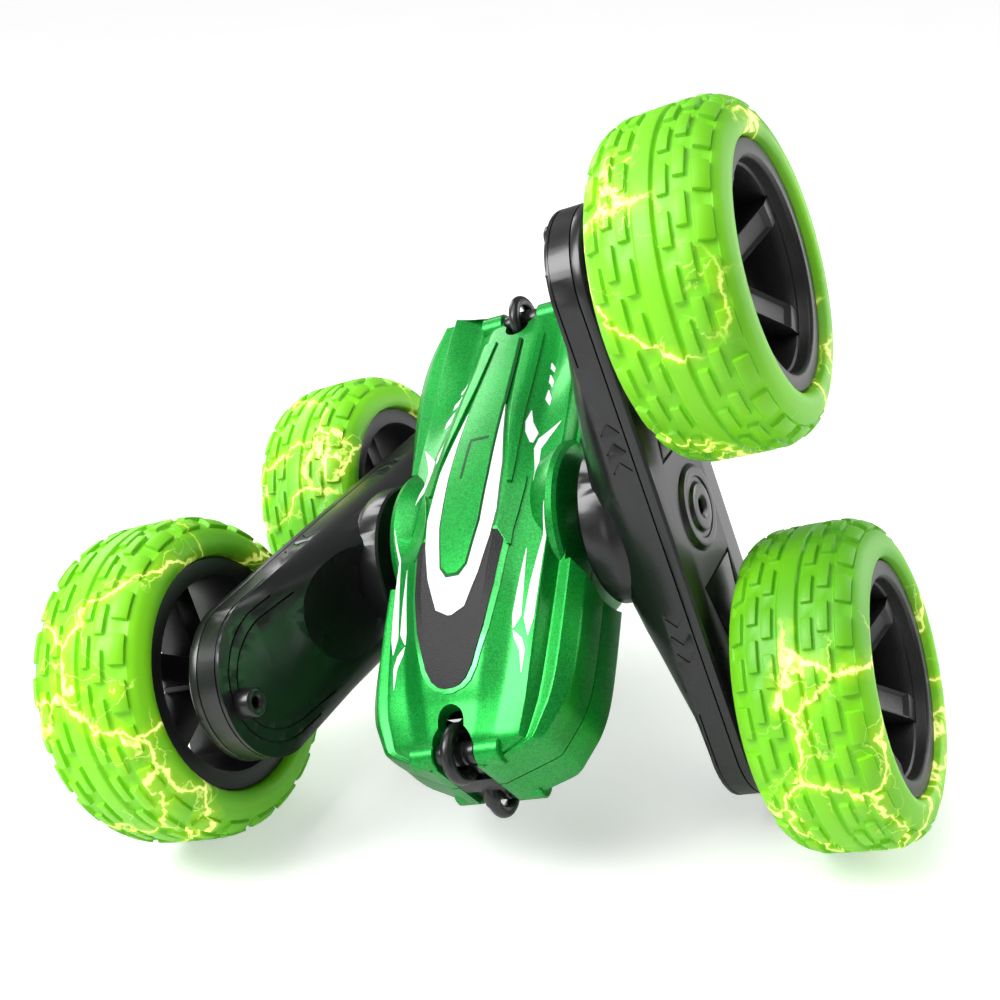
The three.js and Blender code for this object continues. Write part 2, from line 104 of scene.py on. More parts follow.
class Layout:
    """Local frames of the car's parts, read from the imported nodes."""

    pivot = centre("left_hub_bush", "right_hub_bush")
    across = (centre("right_hub_bush") - centre("left_hub_bush")).normalized()

    @classmethod
    def body(cls) -> Matrix:
        """Body frame: X across, Y from nose to tail, Z out of the upper roof.

        Returns:
            The body's local frame.
        """
        nose = centre("front_upper_tow_pin", "front_lower_tow_pin")
        tail = centre("rear_upper_tow_pin", "rear_lower_tow_pin")
        return local_frame(cls.pivot, cls.across, tail - nose)

    @classmethod
    def arm(cls, side: Side) -> Matrix:
        """Arm frame: X outward, Y along the arm from its first wheel to its second.

        Args:
            side: which arm.

        Returns:
            The arm's local frame.
        """
        first, second = (centre(f"{name}_rim") for name in WHEELS[side])
        outward = cls.across if side is Side.RIGHT else -cls.across
        return local_frame(cls.pivot, outward, second - first)

    @classmethod
    def wheel(cls, side: Side, name: str) -> Matrix:
        """Wheel frame: the arm's axes, with the origin in the wheel's middle."""
        place = cls.arm(side)
        return Matrix.Translation(centre(f"{name}_rim") - place.translation) @ place


# ------------------------------------------------------------------ modelling by hand


class Workpiece:
    """One mesh that is modelled with operators, in millimetres, in its own frame."""

    def __init__(self, name: str, obj: bpy.types.Object) -> None:
        """Takes over a fresh object.

        Args:
            name: name of the piece.
            obj: the object that a primitive operator has just made.
        """
        self.obj = obj
        obj.name = name
        obj.data.name = name
        bpy.ops.object.transform_apply(location=True, rotation=True, scale=True)

    # -- starting shapes

    @staticmethod
    def clear() -> None:
        """Leaves edit mode and deselects everything."""
        if bpy.context.mode != "OBJECT":
            bpy.ops.object.mode_set(mode="OBJECT")
        bpy.ops.object.select_all(action="DESELECT")

    @classmethod
    def ring(
        cls, name: str, radius: float, x: float = 0.0, segments: int = 64, fill: str = "NOTHING"
    ) -> "Workpiece":
        """Circle about the X axis, the start of a turned part.

        Args:
            name: name of the piece.
            radius: radius of the circle.
            x: its place along X.
            segments: how many corners it has.
            fill: fill type of the circle primitive.

        Returns:
            The new workpiece.
        """
        cls.clear()
        bpy.ops.mesh.primitive_circle_add(
            vertices=segments, radius=radius, location=(x, 0, 0), fill_type=fill,
            rotation=(0, math.pi / 2, 0),
        )
        return cls(name, bpy.context.object)

    @classmethod
    def block(cls, name: str, low: Sequence[float], high: Sequence[float]) -> "Workpiece":
        """Block between two corners.

        Args:
            name: name of the piece.
            low: lowest corner.
            high: highest corner.

        Returns:
            The new workpiece.
        """
        cls.clear()
        a, b = Vector(low), Vector(high)
        bpy.ops.mesh.primitive_cube_add(size=1, location=(a + b) / 2, scale=b - a)
        return cls(name, bpy.context.object)

    @classmethod
    def ball(cls, name: str, at: Sequence[float], radii: Sequence[float]) -> "Workpiece":
        """Ellipsoid round a point.

        Args:
            name: name of the piece.
            at: its centre.
            radii: its three half axes.

        Returns:
            The new workpiece.
        """
        cls.clear()
        bpy.ops.mesh.primitive_uv_sphere_add(
            segments=48, ring_count=24, radius=1, location=at, scale=radii
        )
        return cls(name, bpy.context.object)

    @classmethod
    def strip(cls, name: str, rows: Sequence["Row"], height: float) -> "Workpiece":
        """Flat strip along Y whose width changes from row to row.

        Args:
            name: name of the piece.
            rows: the strip's cross lines, in order along Y.
            height: Z of the strip.

        Returns:
            The new workpiece.
        """
        cls.clear()
        first = rows[0]
        bpy.ops.mesh.primitive_plane_add(
            size=2 * first.half, location=(first.x, first.y - first.half, height)
        )
        piece = cls(name, bpy.context.object)
        piece.pick("verts", lambda v: v.co.y < first.y - first.half)
        bpy.ops.mesh.delete(type="VERT")
        last = first
        piece.pick_all()
        for row in rows[1:]:
            piece.extrude((row.x - last.x, row.y - last.y, 0))
            piece.resize((row.half / last.half, 1, 1), (row.x, row.y, height))
            last = row
        return piece

    # -- selecting

    def edit(self) -> bmesh.types.BMesh:
        """Puts this piece alone in edit mode and returns its mesh.

        Returns:
            The mesh in edit mode.
        """
        if bpy.context.mode != "EDIT_MESH" or bpy.context.object is not self.obj:
            self.clear()
            self.obj.select_set(True)
            bpy.context.view_layer.objects.active = self.obj
            bpy.ops.object.mode_set(mode="EDIT")
        return bmesh.from_edit_mesh(self.obj.data)

    def _whole(self) -> None:
        """Puts this piece alone, selected and active, in object mode."""
        self.clear()
        self.obj.select_set(True)
        bpy.context.view_layer.objects.active = self.obj

    def pick(self, kind: str, test: Test) -> "Workpiece":
        """Selects the verts, edges or faces that pass a test.

        Args:
            kind: "verts", "edges" or "faces".
            test: says whether an element is wanted.

        Returns:
            This workpiece.
        """
        mesh = self.edit()
        bpy.ops.mesh.select_mode(type={"verts": "VERT", "edges": "EDGE", "faces": "FACE"}[kind])
        bpy.ops.mesh.select_all(action="DESELECT")
        for item in getattr(mesh, kind):
            if test(item):
                item.select_set(True)
        mesh.select_flush_mode()
        bmesh.update_edit_mesh(self.obj.data)
        return self

    def pick_all(self) -> "Workpiece":
        """Selects the whole mesh.

        Returns:
            This workpiece.
        """
        self.edit()
        bpy.ops.mesh.select_mode(type="VERT")
        bpy.ops.mesh.select_all(action="SELECT")
        return self

    # -- shaping what is selected

    def extrude(self, move: Sequence[float]) -> "Workpiece":
        """Extrudes the selection and moves what is new.

        Args:
            move: how far the new part moves.

        Returns:
            This workpiece.
        """
        self.edit()
        bpy.ops.mesh.extrude_region_move(TRANSFORM_OT_translate={"value": move})
        return self

    def swell(self, distance: float) -> "Workpiece":
        """Extrudes the selected faces and moves them out along their normals.

        Args:
            distance: how far the faces move.

        Returns:
            This workpiece.
        """
        self.edit()
        bpy.ops.mesh.extrude_region_shrink_fatten(
            TRANSFORM_OT_shrink_fatten={"value": distance}
        )
        return self

    def move(self, by: Sequence[float]) -> "Workpiece":
        """Moves the selection.

        Args:
            by: how far it moves.

        Returns:
            This workpiece.
        """
        self.edit()
        bpy.ops.transform.translate(value=by)
        return self

    def resize(self, scale: Sequence[float], about: Sequence[float]) -> "Workpiece":
        """Scales the selection about a point.

        Args:
            scale: scale along each axis.
            about: the point that stays.

        Returns:
            This workpiece.
        """
        self.edit()
        bpy.ops.transform.resize(value=scale, center_override=about)
        return self

    def inset(self, thickness: float) -> "Workpiece":
        """Insets the selected region.

        Args:
            thickness: width of the new border.

        Returns:
            This workpiece.
        """
        self.edit()
        bpy.ops.mesh.inset(thickness=thickness, use_even_offset=True)
        return self

    def slice(
        self, at: Sequence[float], normal: Sequence[float], drop: bool = False
    ) -> "Workpiece":
        """Cuts the mesh with a plane.

        Args:
            at: a point of the plane.
            normal: the plane's normal.
            drop: whether the half that the normal points to is taken away.

        Returns:
            This workpiece.
        """
        self.pick_all()
        bpy.ops.mesh.bisect(
            plane_co=at, plane_no=normal, clear_outer=drop, use_fill=drop, threshold=1e-4
        )
        return self

    def close(self) -> "Workpiece":
        """Closes the selected open edge loop with a face.

        Returns:
            This workpiece.
        """
        self.edit()
        bpy.ops.mesh.edge_face_add()
        return self

    def spin_copies(self, count: int) -> "Workpiece":
        """Repeats the whole mesh evenly about the X axis.

        Args:
            count: how many there are in the end.

        Returns:
            This workpiece.
        """
        self.pick_all()
        bpy.ops.mesh.spin(
            steps=count, angle=2 * math.pi, dupli=True, center=(0, 0, 0), axis=(1, 0, 0),
            use_auto_merge=False,
        )
        self.pick_all()
        return self.weld()

    def turned(self, profile: Sequence[tuple[float, float]]) -> "Workpiece":
        """Draws the start ring along a profile and closes it on itself.

        Args:
            profile: (x, radius) stops; the first one is the ring itself.

        Returns:
            This workpiece.
        """
        self.pick_all()
        x, radius = profile[0]
        for next_x, next_radius in (*profile[1:], profile[0]):
            self.extrude((next_x - x, 0, 0))
            ratio = next_radius / radius
            self.resize((1, ratio, ratio), (next_x, 0, 0))
            x, radius = next_x, next_radius
        self.pick_all()
        return self.weld()

    def weld(self) -> "Workpiece":
        """Merges doubles and turns every face outward.

        Returns:
            This workpiece.
        """
        self.pick_all()
        bpy.ops.mesh.remove_doubles(threshold=1e-3)
        bpy.ops.mesh.normals_make_consistent(inside=False)
        return self

    def reach(self, length: float) -> "Workpiece":
        """Draws the whole flat start shape out along X into a solid bar."""
        self.pick_all().extrude((length, 0, 0))
        return self.weld()

    # -- working on the whole

    def modify(self, kind: str, **settings: object) -> "Workpiece":
        """Adds one modifier and applies it.

        Args:
            kind: the modifier's type.
            settings: its properties.

        Returns:
            This workpiece.
        """
        self._whole()
        modifier = self.obj.modifiers.new(kind.lower(), kind)
        for key, value in settings.items():
            setattr(modifier, key, value)
        bpy.ops.object.modifier_apply(modifier=modifier.name)
        return self

    def _closed(self) -> bool:
        """Whether the mesh is a closed solid with two faces at every edge."""
        return all(edge.is_manifold for edge in self.edit().edges)

    def _combine(self, operation: str, tools: Sequence["Workpiece"]) -> "Workpiece":
        """Applies one boolean operation per tool and discards the tools.

        Args:
            operation: "DIFFERENCE" or "UNION".
            tools: the other solids.

        Returns:
            This workpiece.
        """
        for tool in tools:
            solver = "MANIFOLD" if self._closed() and tool._closed() else "EXACT"
            self.clear()
            self.modify("BOOLEAN", operation=operation, object=tool.obj, solver=solver)
            bpy.data.objects.remove(tool.obj)
        return self

    def cut(self, *tools: "Workpiece") -> "Workpiece":
        """Takes other solids away from this one and discards them."""
        return self._combine("DIFFERENCE", tools)

    def fuse(self, *tools: "Workpiece") -> "Workpiece":
        """Unites other solids with this one and discards them."""
        return self._combine("UNION", tools)

    def gather(self, *others: "Workpiece") -> "Workpiece":
        """Joins other meshes into this one as they are.

        Args:
            others: the meshes to join in.

        Returns:
            This workpiece.
        """
        for other in others:
            self._whole()
            other.obj.select_set(True)
            bpy.ops.object.join()
        return self

    def turn(self, degrees: float, axis: str) -> "Workpiece":
        """Turns the whole mesh about an axis through the origin.

        Args:
            degrees: the angle.
            axis: "X", "Y" or "Z".

        Returns:
            This workpiece.
        """
        self.clear()
        self.obj.data.transform(Matrix.Rotation(math.radians(degrees), 4, axis))
        return self

    def soften(self, width: float, angle: float = 30.0, segments: int = 2) -> "Workpiece":
        """Rounds every edge that is sharper than an angle.

        Args:
            width: width of the rounding.
            angle: smallest edge angle, in degrees.
            segments: faces across the rounding.

        Returns:
            This workpiece.
        """
        return self.modify(
            "BEVEL", width=width, segments=segments, limit_method="ANGLE",
            angle_limit=math.radians(angle), harden_normals=False,
        )

    def shade(self, angle: float = 32.0) -> "Workpiece":
        """Shades smooth, with edges sharper than the angle kept crisp.

        Args:
            angle: smallest angle that stays crisp, in degrees.

        Returns:
            This workpiece.
        """
        self._whole()
        bpy.ops.object.shade_smooth_by_angle(angle=math.radians(angle))
        return self

    def copy(self, name: str) -> "Workpiece":
        """Copies the piece with its own mesh.

        Args:
            name: name of the copy.

        Returns:
            The copy.
        """
        self._whole()
        bpy.ops.object.duplicate(linked=False)
        return Workpiece(name, bpy.context.object)

    def place(
        self, place: Matrix, body: str, finish: "Finish", slot: str, *replaced: str
    ) -> bpy.types.Object:
        """Puts the finished mesh in the row frame and makes it ride.

        Args:
            place: the part's local frame.
            body: the CAD body it rides on.
            finish: its finish.
            slot: the record's material slot; not used.
            replaced: the CAD nodes it stands for.

        Returns:
            The placed object.
        """
        self.clear()
        self.obj.data.transform(place)
        self.obj.data.materials.clear()
        self.obj.data.materials.append(finish.material())
        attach(self.obj, body)
        if replaced:
            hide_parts(*replaced)
        log.info("%s: %d faces on %s", self.obj.name, len(self.obj.data.polygons), body)
        return self.obj


@dataclass(frozen=True)
class Row:
    """One cross line of a strip: its place along Y, half width and middle."""

    y: float
    half: float
    x: float = 0.0


def refined(node: str, place: Matrix, width: float, angle: float = 35.0) -> Workpiece:
    """Copy of a CAD node with merged corners and softened edges, in a local frame.

    Args:
        node: name of the CAD node.
        place: local frame that it is worked in.
        width: width of the rounding.
        angle: smallest edge angle that is rounded, in degrees.

    Returns:
        The copy, ready to be placed.
    """
    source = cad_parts[node]
    mesh = source.data.copy()
    mesh.transform(place.inverted())
    obj = bpy.data.objects.new(f"{node}_formed", mesh)
    bpy.context.scene.collection.objects.link(obj)
    Workpiece.clear()
    obj.select_set(True)
    bpy.context.view_layer.objects.active = obj
    piece = Workpiece(f"{node}_formed", obj)
    piece.weld()
    bpy.ops.mesh.dissolve_limited(angle_limit=math.radians(1.0))
    return piece.soften(width, angle).shade(40)


# ------------------------------------------------------------------ finishes


class Graph:
    """Small helper that builds one material's node tree."""

    def __init__(self, name: str) -> None:
        """Starts an empty tree with its output.

        Args:
            name: name of the material.
        """
        self.material = bpy.data.materials.new(name)
        self.material.use_nodes = True
        self.tree = self.material.node_tree
        self.tree.nodes.clear()
        self.output = self.tree.nodes.new("ShaderNodeOutputMaterial")

    def node(self, kind: str, inputs: dict | None = None, **settings: object) -> bpy.types.Node:
        """Adds a node.

        Args:
            kind: node type without its ShaderNode prefix.
            inputs: socket name or index to a value or to another socket.
            settings: properties of the node.

        Returns:
            The new node.
        """
        made = self.tree.nodes.new(f"ShaderNode{kind}")
        for key, value in settings.items():
            setattr(made, key, value)
        for key, value in (inputs or {}).items():
            if isinstance(value, bpy.types.NodeSocket):
                self.tree.links.new(value, made.inputs[key])
            else:
                made.inputs[key].default_value = value
        return made

    def math(self, operation: str, *values: object) -> bpy.types.NodeSocket:
        """Math node on values or sockets, returning its result."""
        return self.node("Math", dict(enumerate(values)), operation=operation).outputs[0]

    def place(self) -> bpy.types.NodeSocket:
        """Object coordinates, in metres."""
        return self.node("TexCoord").outputs["Object"]

    def noise(self, scale: float, detail: float = 2.0, **extra: float) -> bpy.types.Node:
        """Noise texture on object coordinates."""
        inputs = {"Vector": self.place(), "Scale": scale, "Detail": detail}
        return self.node("TexNoise", {**inputs, **extra})

    def ramp(self, factor: object, *stops: tuple[float, tuple]) -> bpy.types.NodeSocket:
        """Colour ramp through (position, colour) stops.

        Args:
            factor: socket that drives the ramp.
            stops: positions from 0 to 1 with RGB colours.

        Returns:
            The colour socket.
        """
        made = self.node("ValToRGB", {"Fac": factor})
        elements = made.color_ramp.elements
        while len(elements) < len(stops):
            elements.new(0.5)
        for element, (position, colour) in zip(elements, stops):
            element.position = position
            element.color = (*colour, 1)
        return made.outputs["Color"]

    def bump(self, height: object, strength: float, distance: float) -> bpy.types.NodeSocket:
        """Bump normal from a height socket; the distance is in metres."""
        inputs = {"Height": height, "Strength": strength, "Distance": distance}
        return self.node("Bump", inputs).outputs["Normal"]

    def surface(self, **inputs: object) -> bpy.types.Material:
        """Ends the tree in a Principled shader.

        Args:
            inputs: socket names, with _ for a space, to values or sockets.

        Returns:
            The material.
        """
        named = {key.replace("_", " "): value for key, value in inputs.items()}
        shader = self.node("BsdfPrincipled", named)
        self.tree.links.new(shader.outputs[0], self.output.inputs["Surface"])
        return self.material


def rgba(colour: Sequence[float]) -> tuple[float, float, float, float]:
    """Colour with full opacity."""
    return (*colour, 1.0)


class Finish:
    """A finish makes its material once."""

    def material(self) -> bpy.types.Material:
        """The material, made on first use."""
        made = bpy.data.materials.get(self.name)
        return made or self.build()

    def build(self) -> bpy.types.Material:
        """Builds the node tree."""
        raise NotImplementedError


@dataclass(frozen=True)
class FlakePaint(Finish):
    """Metallic lacquer with fine flakes under a clear coat."""

    name: str
    dark: tuple[float, float, float]
    light: tuple[float, float, float]
    flake: float = 5200.0
    metallic: float = 0.6
    roughness: float = 0.38

    def build(self) -> bpy.types.Material:
        """Builds the node tree.

        Returns:
            The material.
        """
        g = Graph(self.name)
        cells = g.node("TexVoronoi", {"Vector": g.place(), "Scale": self.flake})
        sparkle = g.node("SeparateColor", {"Color": cells.outputs["Color"]}).outputs[0]
        cloud = g.noise(38.0, 3.0).outputs["Fac"]
        share = g.math("ADD", g.math("MULTIPLY", sparkle, 0.38), g.math("MULTIPLY", cloud, 0.55))
        colour = g.ramp(share, (0.15, self.dark), (0.85, self.light))
        normal = g.bump(sparkle, 0.16, 0.00006)
        rough = g.math("ADD", g.math("MULTIPLY", cloud, 0.1), self.roughness - 0.05)
        return g.surface(
            Base_Color=colour, Metallic=self.metallic, Roughness=rough, Normal=normal,
            Coat_Weight=0.22, Coat_Roughness=0.16,
        )


@dataclass(frozen=True)
class Moulded(Finish):
    """Injection-moulded plastic with a fine grain."""

    name: str
    colour: tuple[float, float, float]
    roughness: float = 0.4
    grain: float = 1800.0
    relief: float = 0.05
    spread: float = 0.25
    coat: float = 0.0
    metallic: float = 0.0

    def build(self) -> bpy.types.Material:
        """Builds the node tree.

        Returns:
            The material.
        """
        g = Graph(self.name)
        fine = g.noise(self.grain, 3.0).outputs["Fac"]
        broad = g.noise(60.0, 2.0).outputs["Fac"]
        low = tuple(c * (1 - self.spread) for c in self.colour)
        high = tuple(min(1.0, c * (1 + self.spread)) for c in self.colour)
        mixed = g.math("ADD", g.math("MULTIPLY", fine, 0.5), g.math("MULTIPLY", broad, 0.5))
        colour = g.ramp(mixed, (0.3, low), (0.7, high))
        rough = g.math("ADD", g.math("MULTIPLY", broad, 0.12), self.roughness - 0.06)
        normal = g.bump(fine, self.relief, 0.0003)
        return g.surface(
            Base_Color=colour, Roughness=rough, Normal=normal, Metallic=self.metallic,
            Coat_Weight=self.coat, Coat_Roughness=0.08,
        )


@dataclass(frozen=True)
class Charged(Finish):
    """Lime rubber printed with bright branching veins, which glow by painted emission inside a
    painted glow halo.
    """

    name: str
    shade: tuple[float, float, float] = (0.13, 0.50, 0.008)
    lit: tuple[float, float, float] = (0.24, 0.76, 0.004)
    glow: tuple[float, float, float] = (0.68, 0.98, 0.004)
    core: tuple[float, float, float] = (1.0, 1.0, 0.35)
    vein: float = 0.020
    fine_vein: float = 0.015
    halo: float = 0.09

    @staticmethod
    def _fade(
        g: Graph, value: bpy.types.NodeSocket, near: float, far: float, high: float = 1.0
    ) -> bpy.types.NodeSocket:
        """Falls from a height to nothing as a value goes from near to far.

        Args:
            g: the tree to build in.
            value: the socket that is read.
            near: value where the fall begins.
            far: value where it ends.
            high: the height that it falls from.

        Returns:
            The falling socket.
        """
        inputs = {"Value": value, "From Min": near, "From Max": far, "To Min": high, "To Max": 0}
        return g.node("MapRange", inputs).outputs["Result"]

    def _veins(self, g: Graph, scale: float, shift: float) -> bpy.types.NodeSocket:
        """Distance from the nearest vein, in cells.

        Args:
            g: the tree to build in.
            scale: cells per metre.
            shift: moves this set of veins away from the others.

        Returns:
            The distance socket.
        """
        wobble = g.noise(70.0, 5.0, Roughness=0.58).outputs["Color"]
        spread = g.node(
            "VectorMath", {0: wobble, "Scale": 0.0155}, operation="SCALE"
        ).outputs["Vector"]
        moved = g.node("VectorMath", {0: g.place(), 1: spread}, operation="ADD").outputs["Vector"]
        shifted = g.node(
            "VectorMath", {0: moved, 1: (shift, shift, shift)}, operation="ADD"
        ).outputs["Vector"]
        cells = g.node(
            "TexVoronoi", {"Vector": shifted, "Scale": scale}, feature="DISTANCE_TO_EDGE"
        )
        return cells.outputs["Distance"]

    def build(self) -> bpy.types.Material:
        """Builds the node tree.

        Returns:
            The material.
        """
        g = Graph(self.name)
        reach = g.noise(27.0, 1.0).outputs["Fac"]
        mask = g.node(
            "MapRange", {"Value": reach, "From Min": 0.46, "From Max": 0.53}
        ).outputs["Result"]
        major, minor = self._veins(g, 36.0, 0.0), self._veins(g, 66.0, 0.31)
        near_major = self._fade(g, major, 0.0, self.vein)
        near_minor = self._fade(g, minor, 0.0, self.fine_vein, 0.5)
        branch = self._fade(g, major, 0.05, 0.20)
        fork = g.math("MULTIPLY", near_minor, branch)
        line = g.math("MULTIPLY", g.math("MAXIMUM", near_major, fork), mask)
        # painted glow: a paler halo of the glow colour round the major veins
        halo = g.math("MULTIPLY", self._fade(g, major, 0.0, self.halo, 0.4), mask)
        tone = g.noise(22.0, 1.0).outputs["Fac"]
        base = g.ramp(tone, (0.35, self.shade), (0.65, self.lit))
        painted_glow_halo_colour = g.node("MixRGB", {"Fac": halo, "Color1": base, "Color2": rgba(self.glow)})
        colour = g.node(
            "MixRGB", {"Fac": line, "Color1": painted_glow_halo_colour.outputs[0], "Color2": rgba(self.core)}
        )
        skin = g.noise(1500.0, 2.0).outputs["Fac"]
        # painted glow: veins and halo emit light, though the tyre is no lamp
        painted_glow_strength = g.math("ADD", g.math("MULTIPLY", line, 0.6), g.math("MULTIPLY", halo, 0.08))
        light = g.node(
            "MixRGB", {"Fac": line, "Color1": rgba(self.glow), "Color2": rgba(self.core)}
        )
        return g.surface(
            Base_Color=colour.outputs[0], Roughness=0.48, Normal=g.bump(skin, 0.05, 0.0002),
            Emission_Color=light.outputs[0], Emission_Strength=painted_glow_strength,
        )


PAINT = FlakePaint("flake_green", (0.001, 0.13, 0.018), (0.008, 0.56, 0.062))
# lighter copy of the green lacquer: a painted highlight, used on the windshield lip
PAINT_PAINTED_HIGHLIGHT = FlakePaint("flake_green_painted_highlight", (0.02, 0.36, 0.07), (0.10, 0.85, 0.18), roughness=0.3)
# darker copy of the green lacquer: painted shade, used round the centre panel and on the roof notch
# and bar
PAINT_PAINTED_SHADE = FlakePaint("flake_green_painted_shade", (0.001, 0.035, 0.008), (0.004, 0.12, 0.02))
RUBBER = Charged("charged_rubber")
GLOSS_BLACK = Moulded("gloss_black", (0.009, 0.009, 0.010), 0.29, 1300.0, 0.02, 0.3, 0.1)
SATIN_BLACK = Moulded("satin_black", (0.011, 0.011, 0.012), 0.42, 2200.0, 0.16, 0.4)
GRAIN_GREY = Moulded("grained_screen", (0.004, 0.004, 0.0045), 0.6, 2600.0, 0.45, 0.6)
WHITE_FILM = Moulded("white_film", (0.86, 0.87, 0.88), 0.3, 900.0, 0.01, 0.04, 0.4)
STEEL = Moulded("bright_steel", (0.56, 0.57, 0.58), 0.28, 3000.0, 0.05, 0.1, 0.0, 1.0)
NYLON = Moulded("nylon_white", (0.74, 0.73, 0.68), 0.45, 1500.0, 0.06, 0.06)
CELL = Moulded("cell_wrap", (0.02, 0.10, 0.42), 0.3, 700.0, 0.03, 0.25, 0.4)
BOARD = Moulded("board_green", (0.01, 0.16, 0.06), 0.4, 520.0, 0.2, 0.7)


# ------------------------------------------------------------------ wheels


@dataclass
class Tyre:
    """Round-shouldered tyre with a centre rib and three rows of blocks each side."""

    radius: float = 33.5
    half_width: float = 13.9
    crown: float = 5.9
    shoulder: float = 8.0
    bead: float = 22.7
    relief: float = 0.95
    segments: int = 66
    rows: tuple[tuple[float, float, int], ...] = ((2.9, 4.9, 0), (5.9, 7.9, 1), (8.9, 11.4, 0))
    rib: float = 1.75
    tread_floor: float = 27.5
    block_pitch: int = 3

    def _outline(self, x: float) -> float:
        """Radius of the tyre's outermost form at a place across it.

        Args:
            x: place across the tyre.

        Returns:
            The radius there.
        """
        beyond = max(0.0, abs(x) - self.crown)
        drop = self.shoulder - math.sqrt(max(0.0, self.shoulder**2 - beyond**2))
        return self.radius - drop - 0.0015 * x * x

    def _profile(self) -> list[tuple[float, float]]:
        """Outline of the tyre's section from one bead to the other and back inside.

        Returns:
            (x, radius) stops.
        """
        low = self.relief
        half = [(0.6, 0.0), (self.rib, 0.0), (self.rib + 0.35, low)]
        for start, end, _ in self.rows:
            half += [(start, low), ((start + end) / 2, low), (end, low)]
        half += [(11.9, 0.45), (12.6, 0.12), (13.2, 0.0), (13.6, 0.0)]
        points = [(x, self._outline(x) - sink) for x, sink in half]
        points += [
            (13.9, 26.6), (13.75, 25.4), (13.1, 24.5), (12.2, 24.32), (10.4, 24.32),
            (10.4, self.bead),
        ]
        return [(-x, r) for x, r in reversed(points)] + points

    def build(self) -> Workpiece:
        """Models the tyre.

        Returns:
            The tyre about the X axis.
        """
        profile = self._profile()
        tyre = Workpiece.ring("tyre", profile[0][1], profile[0][0], self.segments)
        tyre.turned(profile)
        step = 2 * math.pi / self.segments

        def is_block(face: bmesh.types.BMFace) -> bool:
            """Whether a tread face belongs to a block.

            Args:
                face: a face of the turned tyre.

            Returns:
                Whether it stands up as part of a block.
            """
            middle = face.calc_center_median()
            radius = math.hypot(middle.y, middle.z)
            if radius < self.tread_floor:
                return False
            index = round(math.atan2(middle.z, middle.y) / step - 0.5)
            for start, end, offset in self.rows:
                if start < abs(middle.x) < end:
                    side = 0 if middle.x > 0 else 1
                    return (index + offset + side) % self.block_pitch != 0
            return False

        tyre.pick("faces", is_block).swell(self.relief)
        return tyre.soften(0.22, 38, 2).shade(34)


@dataclass
class Rim:
    """Deep-dish rim with a flat flange, five channelled spokes and a stepped hub."""

    half_width: float = 11.8
    flange: float = 24.0
    bore: float = 20.3
    hub: float = 5.4
    spokes: int = 5
    spoke_width: float = 5.4
    first_spoke: float = 4.0
    axle_bore: float = 2.3

    def _barrel(self) -> Workpiece:
        """Flange ring and barrel.

        Returns:
            The flange and barrel.
        """
        w, f, b = self.half_width, self.flange, self.bore
        profile = [
            (w + 0.2, f - 0.4), (w + 0.2, b + 0.6), (w - 0.5, b), (w - 2.6, b - 0.1),
            (w - 2.8, b - 0.7), (w - 5, b - 0.8), (-2, b - 1.4), (-w + 3, b - 0.6), (-w, b),
            (-w, f), (-w + 1.2, f), (-w + 1.2, f - 1.7), (w - 1.2, f - 1.7), (w - 1.2, f),
            (w, f),
        ]
        return Workpiece.ring("rim", profile[0][1], profile[0][0], 96).turned(profile)

    def _hub(self) -> Workpiece:
        """Stepped hub round the axle.

        Returns:
            The hub.
        """
        h, a, w = self.hub, self.axle_bore, self.half_width
        profile = [
            (3.9, a), (3.9, h - 1.9), (3.4, h - 1.4), (2.2, h - 1.3), (2.2, h - 0.4), (1.7, h),
            (-w + 1.4, h), (-w + 1.0, h - 0.4), (-w + 1.0, a),
        ]
        return Workpiece.ring("hub", profile[0][1], profile[0][0], 48).turned(profile)

    def _spokes(self) -> Workpiece:
        """Five sloping spokes with a sunk channel in the outer face.

        Returns:
            All spokes in one mesh.
        """
        half, w = self.spoke_width / 2, self.half_width
        root, tip = self.hub - 1.2, self.bore - 0.4
        spoke = Workpiece.block("spoke", (-2, root, -half), (w - 2.4, tip, half))
        spoke.pick("verts", lambda v: v.co.y < root + 1 and v.co.x > 0).move((-7.4, 0, 0))
        spoke.pick("verts", lambda v: v.co.y < root + 1 and v.co.x < 0).move((-4.0, 0, 0))
        spoke.slice((0, tip - 3.0, 0), (0, 1, 0))
        spoke.pick("verts", lambda v: v.co.y > tip - 3.1 and v.co.x > 0 and v.co.y < tip - 2.9)
        spoke.move((0.9, 0, 0))
        spoke.weld()
        spoke.pick("faces", lambda f: f.normal.x > 0.3 and f.calc_center_median().y < tip - 3)
        spoke.inset(0.75)
        spoke.move((-0.9, 0, 0))
        return spoke.soften(0.18, 25, 2).spin_copies(self.spokes)

    def build(self) -> Workpiece:
        """Models the rim.

        Returns:
            The rim about the X axis, open side outward.
        """
        barrel, hub, spokes = self._barrel(), self._hub(), self._spokes()
        barrel.soften(0.22, 30, 2)
        hub.soften(0.2, 30, 2)
        spokes.turn(self.first_spoke, "X")
        return barrel.gather(hub, spokes).shade(30)


@dataclass
class Wheels:
    """The four wheels, each a tyre and a rim."""

    tyre: Tyre = field(default_factory=Tyre)
    rim: Rim = field(default_factory=Rim)

    def build(self) -> None:
        """Models one wheel and puts a copy at each end of each arm."""
        tyre, rim = self.tyre.build(), self.rim.build()
        for side, names in WHEELS.items():
            for name in names:
                place, body = Layout.wheel(side, name), f"{name}_wheel"
                tyre.copy(f"{name}_tyre_treaded").place(
                    place, body, RUBBER, "tyre_green", f"{name}_tyre"
                )
                rim.copy(f"{name}_rim_dished").place(
                    place, body, SATIN_BLACK, "rim_black", f"{name}_rim"
                )
        for source in (tyre, rim):
            bpy.data.objects.remove(source.obj)


# ------------------------------------------------------------------ arms


